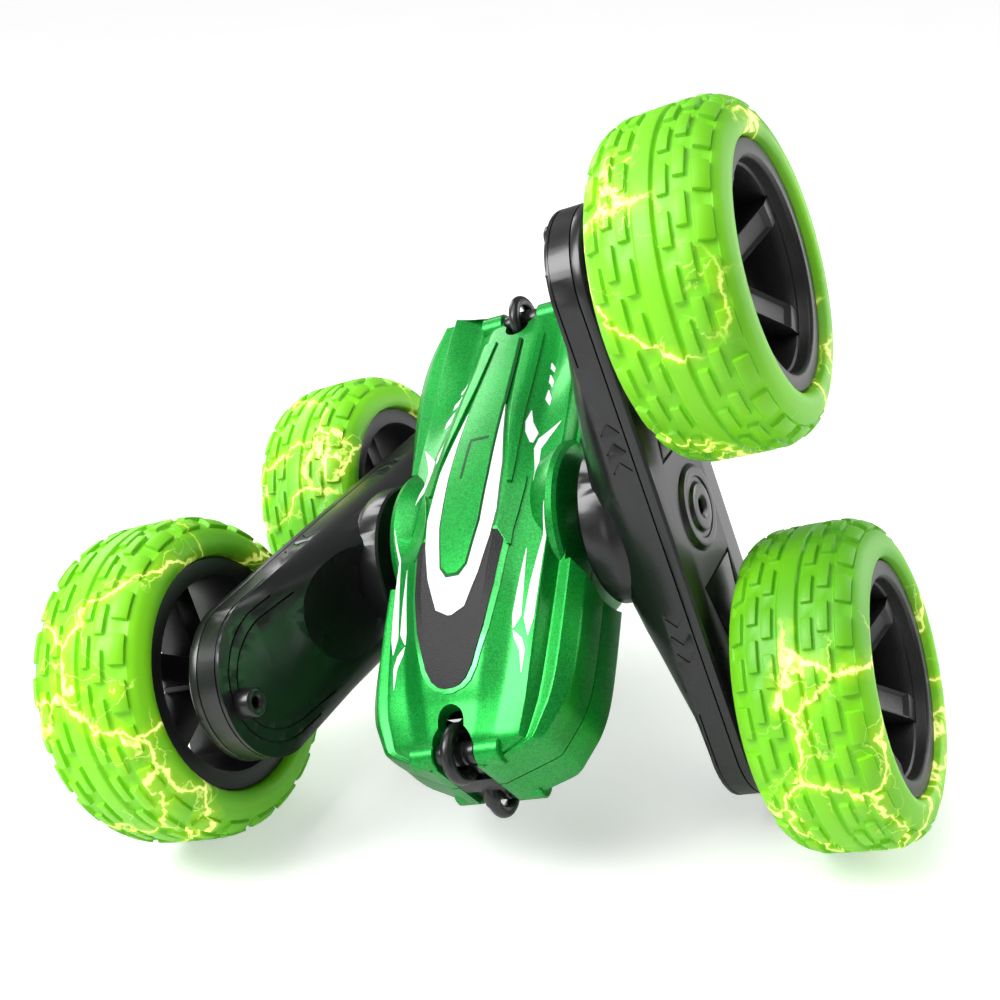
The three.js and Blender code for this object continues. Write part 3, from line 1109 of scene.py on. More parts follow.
@dataclass
class Arm:
    """Arm with a domed, scooped inner shell and a flat panelled cover."""

    half_width: float = 16.5
    end: float = 48.5
    split: float = 40.0
    back: float = 43.0
    edge: float = 34.6
    gap: float = 0.3
    hub: float = 17.0
    face: float = 24.0
    wheel_at: float = 44.0
    screw_at: float = 59.9
    line_width: float = 0.4
    line_depth: float = 0.45
    chevrons: tuple[float, ...] = (18.0, 22.0, 26.0)
    stops: tuple[tuple[float, float], ...] = (
        (0, 26.2), (8, 26.2), (14, 26.6), (20, 27.6), (26, 28.9), (33, 30.4), (41, 32.6),
        (48, 34.0), (56, 34.5), (66, 34.6),
    )
    dome: tuple[tuple[float, float], ...] = ((1.0, 0.30), (2.6, 0.62), (4.8, 0.86), (7.4, 1.0))

    def _face_at(self, y: float) -> float:
        """X of the inner face at a place along the arm.

        Args:
            y: place along the arm.

        Returns:
            The height of the face there.
        """
        y = abs(y)
        for (y0, x0), (y1, x1) in zip(self.stops, self.stops[1:]):
            if y <= y1:
                return x0 + (x1 - x0) * (y - y0) / (y1 - y0)
        return self.stops[-1][1]

    def _stadium(self, name: str, x: float, segments: int = 64) -> Workpiece:
        """Open outline of the arm: two round ends and flat flanks.

        Args:
            name: name of the piece.
            x: its place across the arm.
            segments: corners of the two round ends.

        Returns:
            The outline as an open loop.
        """
        outline = Workpiece.ring(name, self.half_width, x, segments)
        for end in (1, -1):
            outline.pick("verts", lambda v: v.co.y * end > 0.01).move((0, end * self.end, 0))
        return outline

    def _shell(self) -> Workpiece:
        """Inner shell: outline drawn inward in shrinking rings, then domed.

        Returns:
            The shell without its hub.
        """
        shell = self._stadium("arm_shell", self.split)
        shell.pick_all().extrude((self.edge + 0.2 - self.split, 0, 0))
        inset = 0.0
        reach, half = self.end + self.half_width, self.half_width
        for shrink, _ in self.dome:
            shell.extrude((-1.0, 0, 0))
            shell.resize(
                (1, (reach - shrink) / (reach - inset), (half - shrink) / (half - inset)), (0, 0, 0)
            )
            inset = shrink
        shell.close()
        shell.pick("edges", lambda e: e.is_boundary).close()
        for y, _ in self.stops[1:-1]:
            for end in (1, -1):
                shell.slice((0, end * y, 0), (0, 1, 0))
        shell.slice((0, 0, 0), (0, 1, 0))
        top = self.edge + 0.2
        mesh = shell.edit()
        for vertex in mesh.verts:
            level = round(top - vertex.co.x)
            if 1 <= level <= len(self.dome):
                share = self.dome[level - 1][1]
                vertex.co.x = top - share * (top - self._face_at(vertex.co.y))
        bmesh.update_edit_mesh(shell.obj.data)
        return shell.weld()

    def _hub_disc(self) -> Workpiece:
        """Round hub that the arm turns on, with its flared foot.

        Returns:
            The hub.
        """
        h, f = self.hub, self.face
        profile = [
            (f + 0.5, h), (f, h - 0.5), (f, 7.2), (14.4, 6.6), (14.4, 2.2), (36, 2.2),
            (36, h - 3.0), (32, h - 2.0), (30, h - 0.6), (28.4, h),
        ]
        return Workpiece.ring("hub", profile[0][1], profile[0][0], 96).turned(profile)

    def _chevrons(self) -> list[Workpiece]:
        """Cutters for the chevron grooves on both narrow flanks.

        Returns:
            The cutters.
        """
        cutters = []
        for flank in (1, -1):
            for end in (1, -1):
                for at in self.chevrons:
                    for lean in (1, -1):
                        cutter = Workpiece.block(
                            "groove", (-0.1, -0.16, -0.4), (2.9, 0.16, 0.4)
                        )
                        cutter.turn(-48, "Z")
                        cutter.obj.data.transform(
                            Matrix.Translation((37.4, end * at, flank * self.half_width))
                            @ Matrix.Scale(end, 4, (0, 1, 0))
                            @ Matrix.Scale(lean, 4, (1, 0, 0))
                        )
                        cutter.weld()
                        cutters.append(cutter)
        return cutters

    def _belt(self, x: float, width: float, depth: float, start: float) -> list[Workpiece]:
        """Cutters for a groove that wraps each round end.

        Args:
            x: where the groove lies across the arm.
            width: its width.
            depth: how deep it goes.
            start: where it begins along the arm.

        Returns:
            One cutter for each end.
        """
        cutters = []
        for end in (1, -1):
            outer = self._stadium("belt", x)
            outer.pick_all().resize(
                (1, 1 + 2 / (self.end + self.half_width), 1 + 2 / self.half_width), (0, 0, 0)
            )
            outer.pick_all().extrude((width, 0, 0))
            outer.pick_all()
            outer.modify("SOLIDIFY", thickness=2 + depth, offset=1)
            outer.slice((0, end * start, 0), (0, -end, 0), drop=True)
            cutters.append(outer.weld())
        return cutters

    def _arc(self, inset: float, start: float) -> list[Workpiece]:
        """Cutters for a fine line sunk in the dome round each end.

        Args:
            inset: how far inside the outline the line runs.
            start: where it begins along the arm.

        Returns:
            One cutter for each end.
        """
        cutters = []
        top = self.edge + 0.2
        shrink, share = min(self.dome, key=lambda level: abs(level[0] - inset))
        for end in (1, -1):
            line = self._stadium("arc", 0.0)
            line.pick_all().resize(
                (1, 1 - shrink / (self.end + self.half_width), 1 - shrink / self.half_width),
                (0, 0, 0),
            )
            line.pick_all().extrude((1, 0, 0))
            mesh = line.edit()
            for vertex in mesh.verts:
                surface = top - share * (top - self._face_at(vertex.co.y))
                vertex.co.x = surface + (self.line_depth if vertex.co.x > 0.5 else -2.0)
            bmesh.update_edit_mesh(line.obj.data)
            line.modify("SOLIDIFY", thickness=self.line_width, offset=0)
            line.slice((0, end * start, 0), (0, -end, 0), drop=True)
            cutters.append(line.weld())
        return cutters

    def build_shell(self) -> Workpiece:
        """Models the inner shell.

        Returns:
            The shell in the arm frame.
        """
        shell = self._shell()
        scoops = [
            Workpiece.ball("scoop", (25.6, end * 27.5, -2.6), (7.0, 18.5, 13.2)) for end in (1, -1)
        ]
        shell.cut(*scoops)
        shell.fuse(self._hub_disc())
        shell.cut(*self._belt(35.5, 0.35, 0.5, 38.0))
        shell.cut(*self._arc(2.6, 41.0), *self._arc(4.8, 36.0))
        shell.cut(*self._chevrons())
        shell.soften(0.18, 36, 2)
        posts = [self._post(end) for end in (1, -1)]
        return shell.gather(*posts).shade(30)

    def _post(self, end: int) -> Workpiece:
        """Round screw post near one end.

        Args:
            end: 1 for the far end and -1 for the near one.

        Returns:
            The post.
        """
        profile = [(31.6, 1.2), (31.2, 2.2), (31.5, 2.9), (36, 3.1), (36, 1.2), (32.4, 1.1)]
        post = Workpiece.ring("post", profile[0][1], profile[0][0], 32).turned(profile)
        post.soften(0.2, 30, 2)
        post.obj.data.transform(Matrix.Translation((0, end * self.screw_at, 0)))
        return post

    def build_cover(self) -> Workpiece:
        """Models the outer cover with its boss and panel grooves.

        Returns:
            The cover in the arm frame.
        """
        cover = self._stadium("arm_cover", self.split + self.gap)
        cover.pick_all().extrude((1.7, 0, 0))
        for shrink, rise in ((0.5, 0.6), (1.0, 0.2)):
            cover.extrude((rise, 0, 0))
            reach = self.end + self.half_width
            cover.resize((1, 1 - shrink / reach, 1 - shrink / self.half_width), (0, 0, 0))
        cover.close()
        cover.pick("edges", lambda e: e.is_boundary).close()
        cover.weld()
        top = self.back - 0.2
        tools = []
        for end in (1, -1):
            for near, far, half in ((13.5, 27.5, 9.5), (31.0, 38.0, 8.0)):
                panel = Workpiece.block("panel", (top - 0.5, near, -half), (top + 1, far, half))
                panel.pick("verts", lambda v: v.co.y > far - 0.1).resize((1, 1, 0.62), (0, far, 0))
                inner = panel.copy("panel_inner")
                inner.pick_all().resize((1.5, 0.9, 0.88), (top, (near + far) / 2, 0))
                panel.cut(inner)
                panel.obj.data.transform(Matrix.Scale(end, 4, (0, 1, 0)))
                tools.append(panel.weld())
            hole = Workpiece.ring("hole", 3.0, 30.0, 32, "NGON")
            hole.pick_all().extrude((20, 0, 0))
            hole.obj.data.update()
            hole.weld()
            hole.clear()
            hole.obj.data.transform(Matrix.Translation((0, end * self.wheel_at, 0)))
            seat = Workpiece.ring("seat", 1.9, top - 1.0, 24, "NGON")
            seat.pick_all().extrude((20, 0, 0))
            seat.weld()
            seat.clear()
            seat.obj.data.transform(Matrix.Translation((0, end * self.screw_at, 0)))
            tools += [hole, seat]
        cover.cut(*tools)
        profile = [
            (top - 0.4, 1.5), (top - 0.4, 9.2), (top + 0.2, 9.0), (top + 0.9, 8.2),
            (top + 0.9, 6.4), (top + 0.5, 6.2), (top + 0.5, 5.2), (top + 1.3, 4.8),
            (top + 1.4, 2.6), (top + 0.8, 1.5),
        ]
        boss = Workpiece.ring("boss", profile[0][1], profile[0][0], 64).turned(profile)
        cover.soften(0.2, 40, 2)
        return cover.gather(boss.soften(0.12, 25, 2)).shade(34)


@dataclass
class Arms:
    """The two arms, turned a quarter against each other."""

    arm: Arm = field(default_factory=Arm)

    def build(self) -> None:
        """Models one arm and puts a copy on each side."""
        shell, cover = self.arm.build_shell(), self.arm.build_cover()
        for side in Side:
            place, body = Layout.arm(side), f"{side.value}_arm"
            shell.copy(f"{body}_shell_scooped").place(
                place, body, GLOSS_BLACK, "arm_black", f"{body}_shell"
            )
            cover.copy(f"{body}_cover_panelled").place(
                place, body, GLOSS_BLACK, "arm_black", f"{body}_cover"
            )
        for source in (shell, cover):
            bpy.data.objects.remove(source.obj)


# ------------------------------------------------------------------ body


# Y and Z of the tow pins in the nose and in the tail, in the body frame
TOW_PINS = ((-53.0, 8.4), (55.6, 8.0))


@dataclass(frozen=True)
class Section:
    """Half section of the hull: its place along Y and its corners from roof to wall."""

    y: float
    roof: tuple[float, float]
    shoulder: tuple[float, float]
    fender: tuple[float, float]
    wall: float


@dataclass
class Hull:
    """Sculpted half shell with round arm pods, tow slots and pin bosses."""

    sections: tuple[Section, ...] = (
        Section(-56.2, (2.5, 8.6), (4.0, 8.5), (5.4, 8.4), 6.2),
        Section(-51.6, (5.0, 12.0), (9.0, 11.2), (14.0, 10.6), 17.8),
        Section(-45.0, (6.0, 14.0), (10.5, 12.6), (15.6, 12.4), 21.4),
        Section(-40.0, (7.0, 16.1), (11.5, 13.6), (16.2, 13.4), 23.2),
        Section(-28.0, (8.0, 18.5), (12.5, 15.6), (17.0, 14.6), 23.6),
        Section(-18.0, (8.4, 19.9), (13.0, 16.8), (17.6, 15.2), 23.7),
        Section(0.0, (8.4, 20.1), (13.4, 17.4), (18.0, 15.4), 23.7),
        Section(16.0, (8.0, 18.3), (13.0, 15.0), (18.0, 14.0), 23.9),
        Section(30.0, (7.4, 15.3), (12.0, 12.2), (17.8, 13.2), 25.8),
        Section(42.6, (7.0, 12.5), (11.4, 9.2), (17.2, 13.0), 26.4),
        Section(52.0, (6.6, 10.7), (11.0, 8.4), (16.8, 12.6), 25.0),
        Section(58.2, (6.0, 9.1), (11.0, 8.2), (16.6, 12.0), 22.6),
    )
    wall_top: float = 8.1
    parting: float = 0.15
    hollow: tuple[float, float, float] = (0.93, 0.95, 0.90)
    pod: float = 19.0
    pod_face: float = 20.2
    slot_half: float = 2.9
    slot_mouth: float = 4.6
    slots: tuple[tuple[int, float, float], ...] = ((-1, -45.2, -48.4), (1, 49.0, 51.5))
    dish: float = 18.7
    outside: float = 40.0
    fold: float = math.radians(11)
    line_crease: float = 0.93
    nose_crease: float = 0.9
    nose_from: float = -44.0

    def _corners(self, section: Section) -> list[tuple[float, float]]:
        """Corner points (x, z) of one whole section, from the right wall to the left.

        Args:
            section: the half section.

        Returns:
            The corners in order.
        """
        (crest_x, crest_z), top = section.fender, self.wall_top
        out = section.wall - crest_x
        ridge = top + 0.5 * (crest_z - top)
        half = [
            (section.wall, self.parting), (section.wall + 0.3, 4.2), (section.wall, top),
            (crest_x + 0.64 * out, ridge), (crest_x + 0.22 * out, ridge - 0.3),
            section.fender, section.shoulder, section.roof,
        ]
        return half + [(0.0, section.roof[1] + 0.35)] + [(-x, z) for x, z in reversed(half)]

    def _skin(self) -> Workpiece:
        """Outer skin: a grid drawn to the sections, creased along its character lines.

        Returns:
            The skin as a closed solid.
        """
        rings = [self._corners(section) for section in self.sections]
        columns, rows = len(rings[0]), len(rings)
        Workpiece.clear()
        bpy.ops.mesh.primitive_grid_add(x_subdivisions=columns - 1, y_subdivisions=rows - 1, size=2)
        skin = Workpiece("hull", bpy.context.object)
        mesh = skin.edit()
        for vertex in mesh.verts:
            column = round((1 - vertex.co.x) / 2 * (columns - 1))
            row = round((vertex.co.y + 1) / 2 * (rows - 1))
            x, z = rings[row][column]
            vertex.co = (x, self.sections[row].y, z)
        bmesh.update_edit_mesh(skin.obj.data)
        nose, tail = self.sections[0].y, self.sections[-1].y
        for end in (nose, tail):
            skin.pick(
                "edges", lambda e: e.is_boundary and all(abs(v.co.y - end) < 0.01 for v in e.verts)
            ).close()
        skin.pick_all()
        bpy.ops.mesh.normals_make_consistent(inside=False)
        mesh = skin.edit()
        layers = mesh.edges.layers.float
        layer = layers.get("crease_edge") or layers.new("crease_edge")
        for edge in mesh.edges:
            along = abs((edge.verts[0].co - edge.verts[1].co).normalized().y)
            sharp = len(edge.link_faces) < 2 or edge.calc_face_angle(0) > self.fold
            at_end = all(v.co.y < nose + 0.1 or v.co.y > tail - 0.1 for v in edge.verts)
            if len(edge.link_faces) < 2 or at_end:
                edge[layer] = 1.0
            elif along > 0.6 and sharp:
                edge[layer] = self.line_crease
            elif min(v.co.y for v in edge.verts) < self.nose_from:
                edge[layer] = self.nose_crease
        bmesh.update_edit_mesh(skin.obj.data)
        skin.modify("SUBSURF", levels=3, render_levels=3)
        skin.pick("edges", lambda e: e.is_boundary).close()
        return skin.weld()

    def _pods(self) -> Workpiece:
        """Round shoulders at the arm hubs, upper half only.

        Returns:
            The shoulders as a closed solid.
        """
        r, f = self.pod, self.pod_face
        profile = [
            (-f, 9.0), (f, 9.0), (f, r - 2.4), (f - 0.2, r - 1.2), (f - 0.9, r - 0.4), (f - 2, r),
            (14.5, r - 1.2), (8, r - 6.5), (-8, r - 6.5), (-14.5, r - 1.2),
            (-f + 2, r), (-f + 0.9, r - 0.4), (-f + 0.2, r - 1.2), (-f, r - 2.4),
        ]
        pods = Workpiece.ring("pods", profile[0][1], profile[0][0], 96).turned(profile)
        return pods.slice((0, 0, self.parting), (0, 0, -1), drop=True)

    def _slot(self, towards: int, root: float, r: float) -> Workpiece:
        """Cutter of a round-topped tow slot.

        Args:
            towards: -1 at the nose and 1 at the tail.
            root: Y of the slot's round end.
            r: half its width.

        Returns:
            The cutter.
        """
        slot = Workpiece.ring("slot", r, 40, 40, "NGON")
        slot.turn(90, "Y")
        slot.pick_all().extrude((0, 0, 90))
        slot.pick("verts", lambda v: v.co.y * towards > 0.01).move((0, towards * 40, 0))
        slot.weld()
        slot.clear()
        slot.obj.data.transform(Matrix.Translation((0, root - towards * -r, 0)))
        return slot

    def _barrels(self) -> list[Workpiece]:
        """Round pin bosses beside both tow slots.

        Returns:
            The four bosses.
        """
        bosses = []
        for y, z in TOW_PINS:
            for side in (1, -1):
                profile = [(4.6, 0.9), (4.6, 2.7), (4.8, 2.9), (9.7, 2.9), (10.0, 2.6), (10.0, 0.9)]
                boss = Workpiece.ring("boss", 0.9, 4.6, 40).turned(profile)
                if side < 0:
                    boss.turn(180, "Z")
                boss.clear()
                boss.obj.data.transform(Matrix.Translation((0, y, z)))
                bosses.append(boss)
        return bosses

    def build(self) -> Workpiece:
        """Models the upper half shell.

        Returns:
            The shell in the body frame.
        """
        hull = self._skin()
        inside = hull.copy("inside")
        inside.pick_all().resize(self.hollow, (0, 0, 0)).move((0, 0, -1))
        hull.cut(inside)
        for towards, narrow, wide in self.slots:
            hull.cut(self._slot(towards, narrow, self.slot_half))
            hull.cut(self._slot(towards, wide, self.slot_mouth))
        hull.fuse(self._pods())
        for side in (1, -1):
            start = self.pod_face if side > 0 else -self.outside
            dish = Workpiece.ring("dish", self.dish, start, 96, "NGON")
            hull.cut(dish.reach(self.outside - self.pod_face))
        hull.fuse(*self._barrels())
        return hull.shade(28)


@dataclass
class Trim:
    """Windshield, raised panels and film shapes that lie on the hull's top."""

    hull: Workpiece
    ceiling: float = 34.0

    def _laid(
        self, name: str, rows: Sequence[Row], lift: float, depth: float, cuts: int = 6
    ) -> Workpiece:
        """Strip pressed down onto the hull.

        Args:
            name: name of the piece.
            rows: its outline.
            lift: how far it stands proud of the hull.
            depth: its thickness.
            cuts: how finely it is divided to follow the hull.

        Returns:
            The strip as a closed solid.
        """
        strip = Workpiece.strip(name, rows, self.ceiling)
        strip.pick_all()
        bpy.ops.mesh.subdivide(number_cuts=cuts)
        strip.pick_all()
        bpy.ops.mesh.normals_make_consistent(inside=False)
        strip.modify(
            "SHRINKWRAP", target=self.hull.obj, wrap_method="PROJECT", use_project_z=True,
            use_negative_direction=True, use_positive_direction=False, offset=0.0,
        )
        strip.pick_all().move((0, 0, lift))
        strip.modify("SOLIDIFY", thickness=depth, offset=-1)
        return strip.weld()

    def windshield(self) -> list[tuple[Workpiece, Finish, str]]:
        """Lip painted lighter as a painted highlight, screen, white band, green centre panel and
        its rim painted dark as painted shade.

        Returns:
            Pieces with their finish and slot.
        """
        half = (
            (-42.6, 0.9), (-42.2, 2.4), (-41.0, 3.9), (-38.6, 5.3), (-31, 7.6), (-22.7, 9.2),
            (-13, 10.2),
        )
        screen = [Row(y, w) for y, w in half] + [Row(-10.4, 9.7)]
        lip = [Row(y - 0.45, w + 0.95) for y, w in half]
        lip = [Row(half[0][0] - 0.9, 0.9), *lip, Row(-9.6, 10.4)]
        band = [
            Row(-28.3, 0.4), Row(-26.8, 3.3), Row(-19.8, 5.9), Row(-12, 7.6), Row(-5.7, 8.3),
            Row(6.5, 7.6), Row(16, 5.9), Row(25.8, 4.2),
        ]
        panel = [
            Row(-19.6, 1.2), Row(-17.8, 2.9), Row(-8, 4.5), Row(4, 4.7), Row(14, 4.5), Row(26, 4.1),
            Row(38, 3.3), Row(46.5, 2.7),
        ]
        # rim round the centre panel, a little lower and wider: painted shade at the panel's step
        edge = [Row(r.y + (-0.5 if i == 0 else 0), r.half + 0.35) for i, r in enumerate(panel)]
        panel_piece = self._laid("centre_panel", panel, 1.0, 1.4).soften(0.3, 40)
        lip_piece = self._laid("windshield_lip", lip, 0.28, 1.0, 9).soften(0.25, 40)
        glass = self._laid("windshield_screen", screen, 0.52, 1.0, 9).soften(0.15, 40)
        return [
            # the lip is the hull's green painted lighter: a painted highlight on the raised rim
            (lip_piece, PAINT_PAINTED_HIGHLIGHT, "shell_green"),
            (glass, GRAIN_GREY, "windshield_grey"),
            (self._laid("white_band", band, 0.64, 0.9, 8), WHITE_FILM, "nylon_white"),
            (self._laid("panel_edge_painted_shade", edge, 0.68, 0.9, 8), PAINT_PAINTED_SHADE, "shell_green"),
            (panel_piece, PAINT, "shell_green"),
        ]

    def _mirrored(self, piece: Workpiece) -> Workpiece:
        """Adds the piece's mirror image on the other side of the centre line.

        Args:
            piece: the piece on one side.

        Returns:
            The piece with its mirror image.
        """
        twin = piece.copy("twin")
        twin.clear()
        twin.obj.data.transform(Matrix.Scale(-1, 4, (1, 0, 0)))
        twin.weld()
        return piece.gather(twin)

    def rails(self) -> list[tuple[Workpiece, Finish, str]]:
        """Raised rails beside the centre panel and the blocks at the screen's upper ends.

        Returns:
            Pieces with their finish and slot.
        """
        rail = [
            Row(1.5, 0.5, 9.8), Row(8, 0.85, 9.4), Row(20, 1.5, 8.0), Row(32, 2.0, 7.0),
            Row(47.5, 2.2, 6.0),
        ]
        block = [
            Row(-13.6, 0.4, 11.3), Row(-10.4, 1.4, 10.4), Row(-5.4, 1.8, 10.6),
            Row(0, 1.2, 11.6), Row(3.2, 0.4, 12.4),
        ]
        # notch and bar: dark strips of painted shade where the roof's grooves lie
        notch = [Row(3.4, 0.32, -1.5), Row(13.6, 0.34, -1.3)]
        bar = [Row(13.6, 2.3, 0.75), Row(14.4, 2.3, 0.75)]
        rails = self._mirrored(self._laid("roof_rails", rail, 0.75, 1.3).soften(0.3, 40))
        blocks = self._mirrored(self._laid("pillar_blocks", block, 0.7, 1.3).soften(0.3, 40))
        painted_shade_lines = self._laid("roof_notch", notch, 1.03, 1.0)
        painted_shade_lines.gather(self._laid("bar", bar, 1.03, 1.0))
        return [
            (rails, PAINT, "shell_green"),
            (blocks, PAINT, "shell_green"),
            (painted_shade_lines, PAINT_PAINTED_SHADE, "shell_green"),
        ]

    def film(self) -> list[tuple[Workpiece, Finish, str]]:
        """White spear, hook and dash shapes on both fenders.

        Returns:
            The film with its finish and slot.
        """
        shapes = (
            (
                Row(-4.5, 0.05, 17.9), Row(-12, 0.35, 17.2), Row(-22, 0.85, 16.2),
                Row(-29, 1.0, 15.6), Row(-32.5, 0.1, 15.6),
            ),
            (
                Row(-14, 0.05, 14.2), Row(-22, 0.55, 13.7), Row(-28.5, 0.9, 13.2),
                Row(-31, 0.12, 12.5),
            ),
            (
                Row(-31.4, 0.1, 12.6), Row(-33, 0.8, 13.6), Row(-35.5, 0.55, 14.6),
                Row(-40, 0.05, 14.6),
            ),
            (
                Row(1.5, 0.05, 14.3), Row(7, 0.45, 13.7), Row(11, 0.7, 13.2), Row(14, 1.1, 14.0),
                Row(18.5, 0.1, 17.0),
            ),
            (Row(12.6, 0.3, 11.8), Row(15.5, 1.2, 11.4), Row(18.5, 0.7, 10.4), Row(22, 0.05, 10.2)),
            (Row(24, 0.1, 13.2), Row(26, 0.7, 12.6), Row(29, 0.1, 12.0)),
            (Row(30, 0.1, 12.6), Row(31.6, 0.6, 12.1), Row(34, 0.1, 11.4)),
            (Row(35, 0.1, 12.0), Row(36.2, 0.5, 11.5), Row(38, 0.1, 10.9)),
        )
        laid = [self._laid("fender_film", shape, 0.08, 0.4) for shape in shapes]
        film = self._mirrored(laid[0].gather(*laid[1:]))
        return [(film, WHITE_FILM, "nylon_white")]


@dataclass
class BodyShells:
    """The two half shells with their trim, the lower one turned half round."""

    hull: Hull = field(default_factory=Hull)
    openings: tuple[str, ...] = ("power_switch_base", "charging_port")
    play: float = 0.3
    well: float = 2.1
    well_depth: float = 32.0
    screws: int = 4
    screw_head: float = -8.1
    inside: float = -5.0
    below: float = -40.0
    crossed: tuple[str, ...] = ("centre_panel", "panel_edge_painted_shade", "roof_rails")

    def _windows(self) -> list[Workpiece]:
        """Cutters for the switch, the charging socket and the screw heads underneath.

        Returns:
            The cutters in the body frame.
        """
        back = Layout.body().inverted()
        cutters = []
        for node in self.openings:
            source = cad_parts[node]
            corners = [back @ (source.matrix_world @ v.co) for v in source.data.vertices]
            low = [min(c[i] for c in corners) - self.play for i in range(2)]
            high = [max(c[i] for c in corners) + self.play for i in range(2)]
            cutters.append(Workpiece.block("window", (*low, self.below), (*high, self.inside)))
        for index in range(1, self.screws + 1):
            x, y, _ = back @ centre(f"body_screw_{index}")
            well = Workpiece.ring("well", self.well, 0.0, 40, "NGON")
            well.reach(self.well_depth).turn(90, "Y")
            well.pick_all().move((x, y, self.screw_head))
            cutters.append(well)
        return cutters

    def build(self) -> None:
        """Models the upper half and its trim, and puts a turned copy below."""
        place = Layout.body()
        upper = self.hull.build()
        trim = Trim(upper)
        parts = trim.windshield() + trim.rails() + trim.film()
        for half, turn in (("upper", 0), ("lower", 180)):
            shell = upper.copy(f"{half}_hull").turn(turn, "Y")
            if turn:
                shell.cut(*self._windows())
            shell.place(place, "body", PAINT, "shell_green", f"{half}_shell")
            for part, finish, slot in parts:
                replaced = (f"windshield_{half}",) if "screen" in part.obj.name else ()
                piece = part.copy(f"{half}_{part.obj.name}").turn(turn, "Y")
                if turn and part.obj.name in self.crossed:
                    piece.cut(*self._windows())
                piece.place(place, "body", finish, slot, *replaced)
        for source in (upper, *(part for part, _, _ in parts)):
            bpy.data.objects.remove(source.obj)


@dataclass
class TowGear:
    """Black brackets in the nose and tail and the shackles on their pins."""

    radius: float = 4.8
    wire: float = 1.3
    liner_half: float = 4.5
    liner_rise: float = 7.6
    liner_depth: float = 7.4
    well: float = 6.5
    well_at: float = 8.3

    def _shackle(self) -> Workpiece:
        """Round shackle with a thicker foot and a sleeve on the pin.

        Returns:
            The shackle round the origin.
        """
        Workpiece.clear()
        bpy.ops.mesh.primitive_torus_add(
            major_radius=self.radius, minor_radius=self.wire, major_segments=64, minor_segments=20,
            rotation=(0, math.pi / 2, 0),
        )
        shackle = Workpiece("shackle", bpy.context.object)
        shackle.pick("verts", lambda v: v.co.z < -2.4).resize((1.35, 1.0, 1.06), (0, 0, -2.4))
        sleeve = [(-2.0, 1.2), (-2.0, 2.1), (-1.7, 2.4), (1.7, 2.4), (2.0, 2.1), (2.0, 1.2)]
        return shackle.gather(Workpiece.ring("sleeve", 1.2, -2.0, 40).turned(sleeve)).shade(40)

    def _liner(self, name: str, y: float, depth: float) -> Workpiece:
        """Black strap that closes a tow slot behind its shackles.

        Args:
            name: name of the piece.
            y: where the pins lie along the body.
            depth: how far behind the pins its back lies, towards the body's middle.

        Returns:
            The strap in the body frame.
        """
        outer = y - math.copysign(3.2, depth)
        low, high = sorted((outer, y + depth))
        half, rise = self.liner_half, self.liner_rise
        strap = Workpiece.block(name, (-half, low, -rise), (half, high, rise))
        for z in (self.well_at, -self.well_at):
            well = Workpiece.ring("well", self.well, -6, 48, "NGON").reach(12)
            well.pick_all().move((0, y, z))
            strap.cut(well)
        return strap.soften(0.4).shade(35)

    def build(self) -> None:
        """Softens the brackets and puts a shackle on each of the four pins."""
        place = Layout.body()
        for end, (y, _), towards in zip(("front", "rear"), TOW_PINS, (1, -1)):
            liner = self._liner(f"{end}_slot_liner", y, towards * self.liner_depth)
            liner.place(place, "body", SATIN_BLACK, "arm_black")
        shackle = self._shackle()
        for end in ("front", "rear"):
            node = f"{end}_tow_bracket"
            refined(node, place, 0.45).place(place, "body", GLOSS_BLACK, "arm_black", node)
            for face, turn in (("upper", 0), ("lower", 180)):
                name = f"{end}_{face}_tow_ring"
                middle = Matrix.Translation(centre(name) - place.translation) @ place
                ring = shackle.copy(f"{name}_formed").turn(turn, "Y")
                ring.place(middle, "body", GLOSS_BLACK, "arm_black", name)
        bpy.data.objects.remove(shackle.obj)


# ------------------------------------------------------------------ inner parts


@dataclass
class Fittings:
    """CAD nodes that keep their shape and get their finish here."""

    finishes: tuple[tuple[str, Finish], ...] = (
        ("_gear", NYLON), ("gearmotor", STEEL), ("axle", STEEL), ("shaft", STEEL), ("screw", STEEL),
        ("pin", STEEL), ("hub_bush", SATIN_BLACK), ("battery", CELL), ("circuit_board", BOARD),
        ("switch_base", SATIN_BLACK), ("switch_knob", NYLON), ("charging_port", STEEL),
        ("tow_ring", GLOSS_BLACK), ("tow_bracket", GLOSS_BLACK), ("shell", PAINT),
        ("windshield", GRAIN_GREY),
    )

    def dress(self) -> None:
        """Gives every CAD node that is still shown its finish."""
        for name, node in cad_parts.items():
            if node.hide_render:
                continue
            finish = next(f for key, f in self.finishes if key in name)
            node.data.materials.clear()
            node.data.materials.append(finish.material())
            log.info("%s: finished as %s", name, finish.name)


# ------------------------------------------------------------------ studio


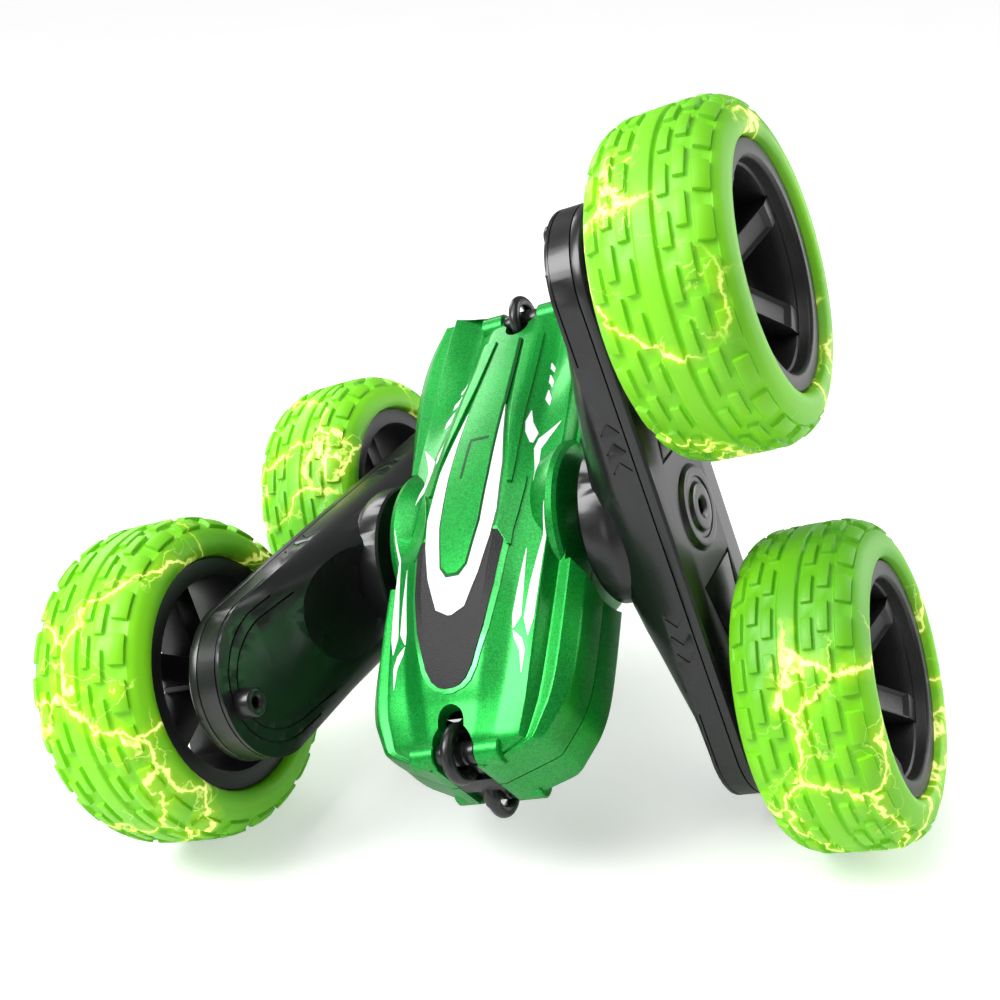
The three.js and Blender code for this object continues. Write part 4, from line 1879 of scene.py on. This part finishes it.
@dataclass
class Studio:
    """Plain pale floor, soft light and the camera."""

    camera_at: tuple[float, float, float] = (99.0, -263.3, 198.0)
    camera_axes: tuple[tuple[float, float, float], ...] = (
        (0.9276, 0.3729, -0.0238), (-0.1385, 0.4024, 0.9049), (0.3471, -0.8361, 0.4249),
    )
    lens: float = 53.01
    floor_size: float = 40.0

    def _floor(self) -> None:
        """Pale floor under the car."""
        Workpiece.clear()
        bpy.ops.mesh.primitive_plane_add(size=self.floor_size, location=(0, 0, 0))
        floor = bpy.context.object
        floor.name = "floor"
        g = Graph("pale_floor")
        tone = g.ramp(g.noise(9.0, 2.0).outputs["Fac"], (0.3, (0.80,) * 3), (0.7, (0.82,) * 3))
        seen = g.node("LightPath").outputs["Is Camera Ray"]
        glow = g.math("ADD", g.math("MULTIPLY", seen, 0.40), 0.05)
        floor.data.materials.append(
            g.surface(
                Base_Color=tone, Roughness=0.6, Emission_Color=(1, 1, 1, 1), Emission_Strength=glow
            )
        )

    def _light(self, name: str, at: Sequence[float], power: float, size: float) -> None:
        """Square soft light aimed at the car.

        Args:
            name: name of the light.
            at: where it hangs, in metres.
            power: its power in watts.
            size: its side in metres.
        """
        Workpiece.clear()
        aim = (Layout.pivot - Vector(at)).to_track_quat("-Z", "Y").to_euler()
        bpy.ops.object.light_add(type="AREA", location=at, rotation=aim)
        light = bpy.context.object
        light.name = name
        light.data.energy = power
        light.data.size = size

    def _sun(self) -> None:
        """Very soft overhead light that keeps the floor even."""
        Workpiece.clear()
        bpy.ops.object.light_add(type="SUN", rotation=(math.radians(12), math.radians(-14), 0))
        sun = bpy.context.object
        sun.data.energy = 1.5
        sun.data.angle = math.radians(50)

    def _sky(self) -> None:
        """White surround, dimmer for what it lights than for the eye."""
        world = bpy.data.worlds.new("surround")
        bpy.context.scene.world = world
        world.use_nodes = True
        nodes, links = world.node_tree.nodes, world.node_tree.links
        nodes.clear()
        output = nodes.new("ShaderNodeOutputWorld")
        path = nodes.new("ShaderNodeLightPath")
        mix = nodes.new("ShaderNodeMixShader")
        for index, strength in ((1, 0.22), (2, 1.1)):
            back = nodes.new("ShaderNodeBackground")
            back.inputs["Color"].default_value = (1, 1, 1, 1)
            back.inputs["Strength"].default_value = strength
            links.new(back.outputs[0], mix.inputs[index])
        links.new(path.outputs["Is Camera Ray"], mix.inputs[0])
        links.new(mix.outputs[0], output.inputs[0])

    def _camera(self) -> None:
        """Camera low in front of the car, on its right."""
        Workpiece.clear()
        bpy.ops.object.camera_add()
        camera = bpy.context.object
        turn = Matrix([Vector(axis) for axis in self.camera_axes]).transposed().to_4x4()
        camera.matrix_world = Matrix.Translation(Vector(self.camera_at) * MM) @ turn
        camera.data.lens = self.lens
        camera.data.sensor_width = 36.0
        camera.data.clip_start = 0.005
        bpy.context.scene.camera = camera

    def build(self) -> None:
        """Sets up floor, light and camera."""
        self._floor()
        self._sky()
        self._sun()
        self._light("overhead", (-0.42, -0.36, 0.52), 5.0, 0.35)
        self._light("front_fill", (0.10, -0.80, 0.30), 0.45, 0.3)
        self._light("arm_sheen", (0.38, 0.34, 0.22), 1.6, 0.35)
        self._light("rim_light", (-0.6, 0.35, 0.35), 1.6, 0.3)
        self._camera()
        bpy.context.scene.view_settings.view_transform = "Standard"


def main() -> None:
    """Builds the car's pieces in order, then the studio."""
    logging.basicConfig(level=logging.INFO, format="%(name)s: %(message)s")
    Wheels().build()
    Arms().build()
    BodyShells().build()
    TowGear().build()
    Fittings().dress()
    Studio().build()


if __name__ == "__main__":
    main()
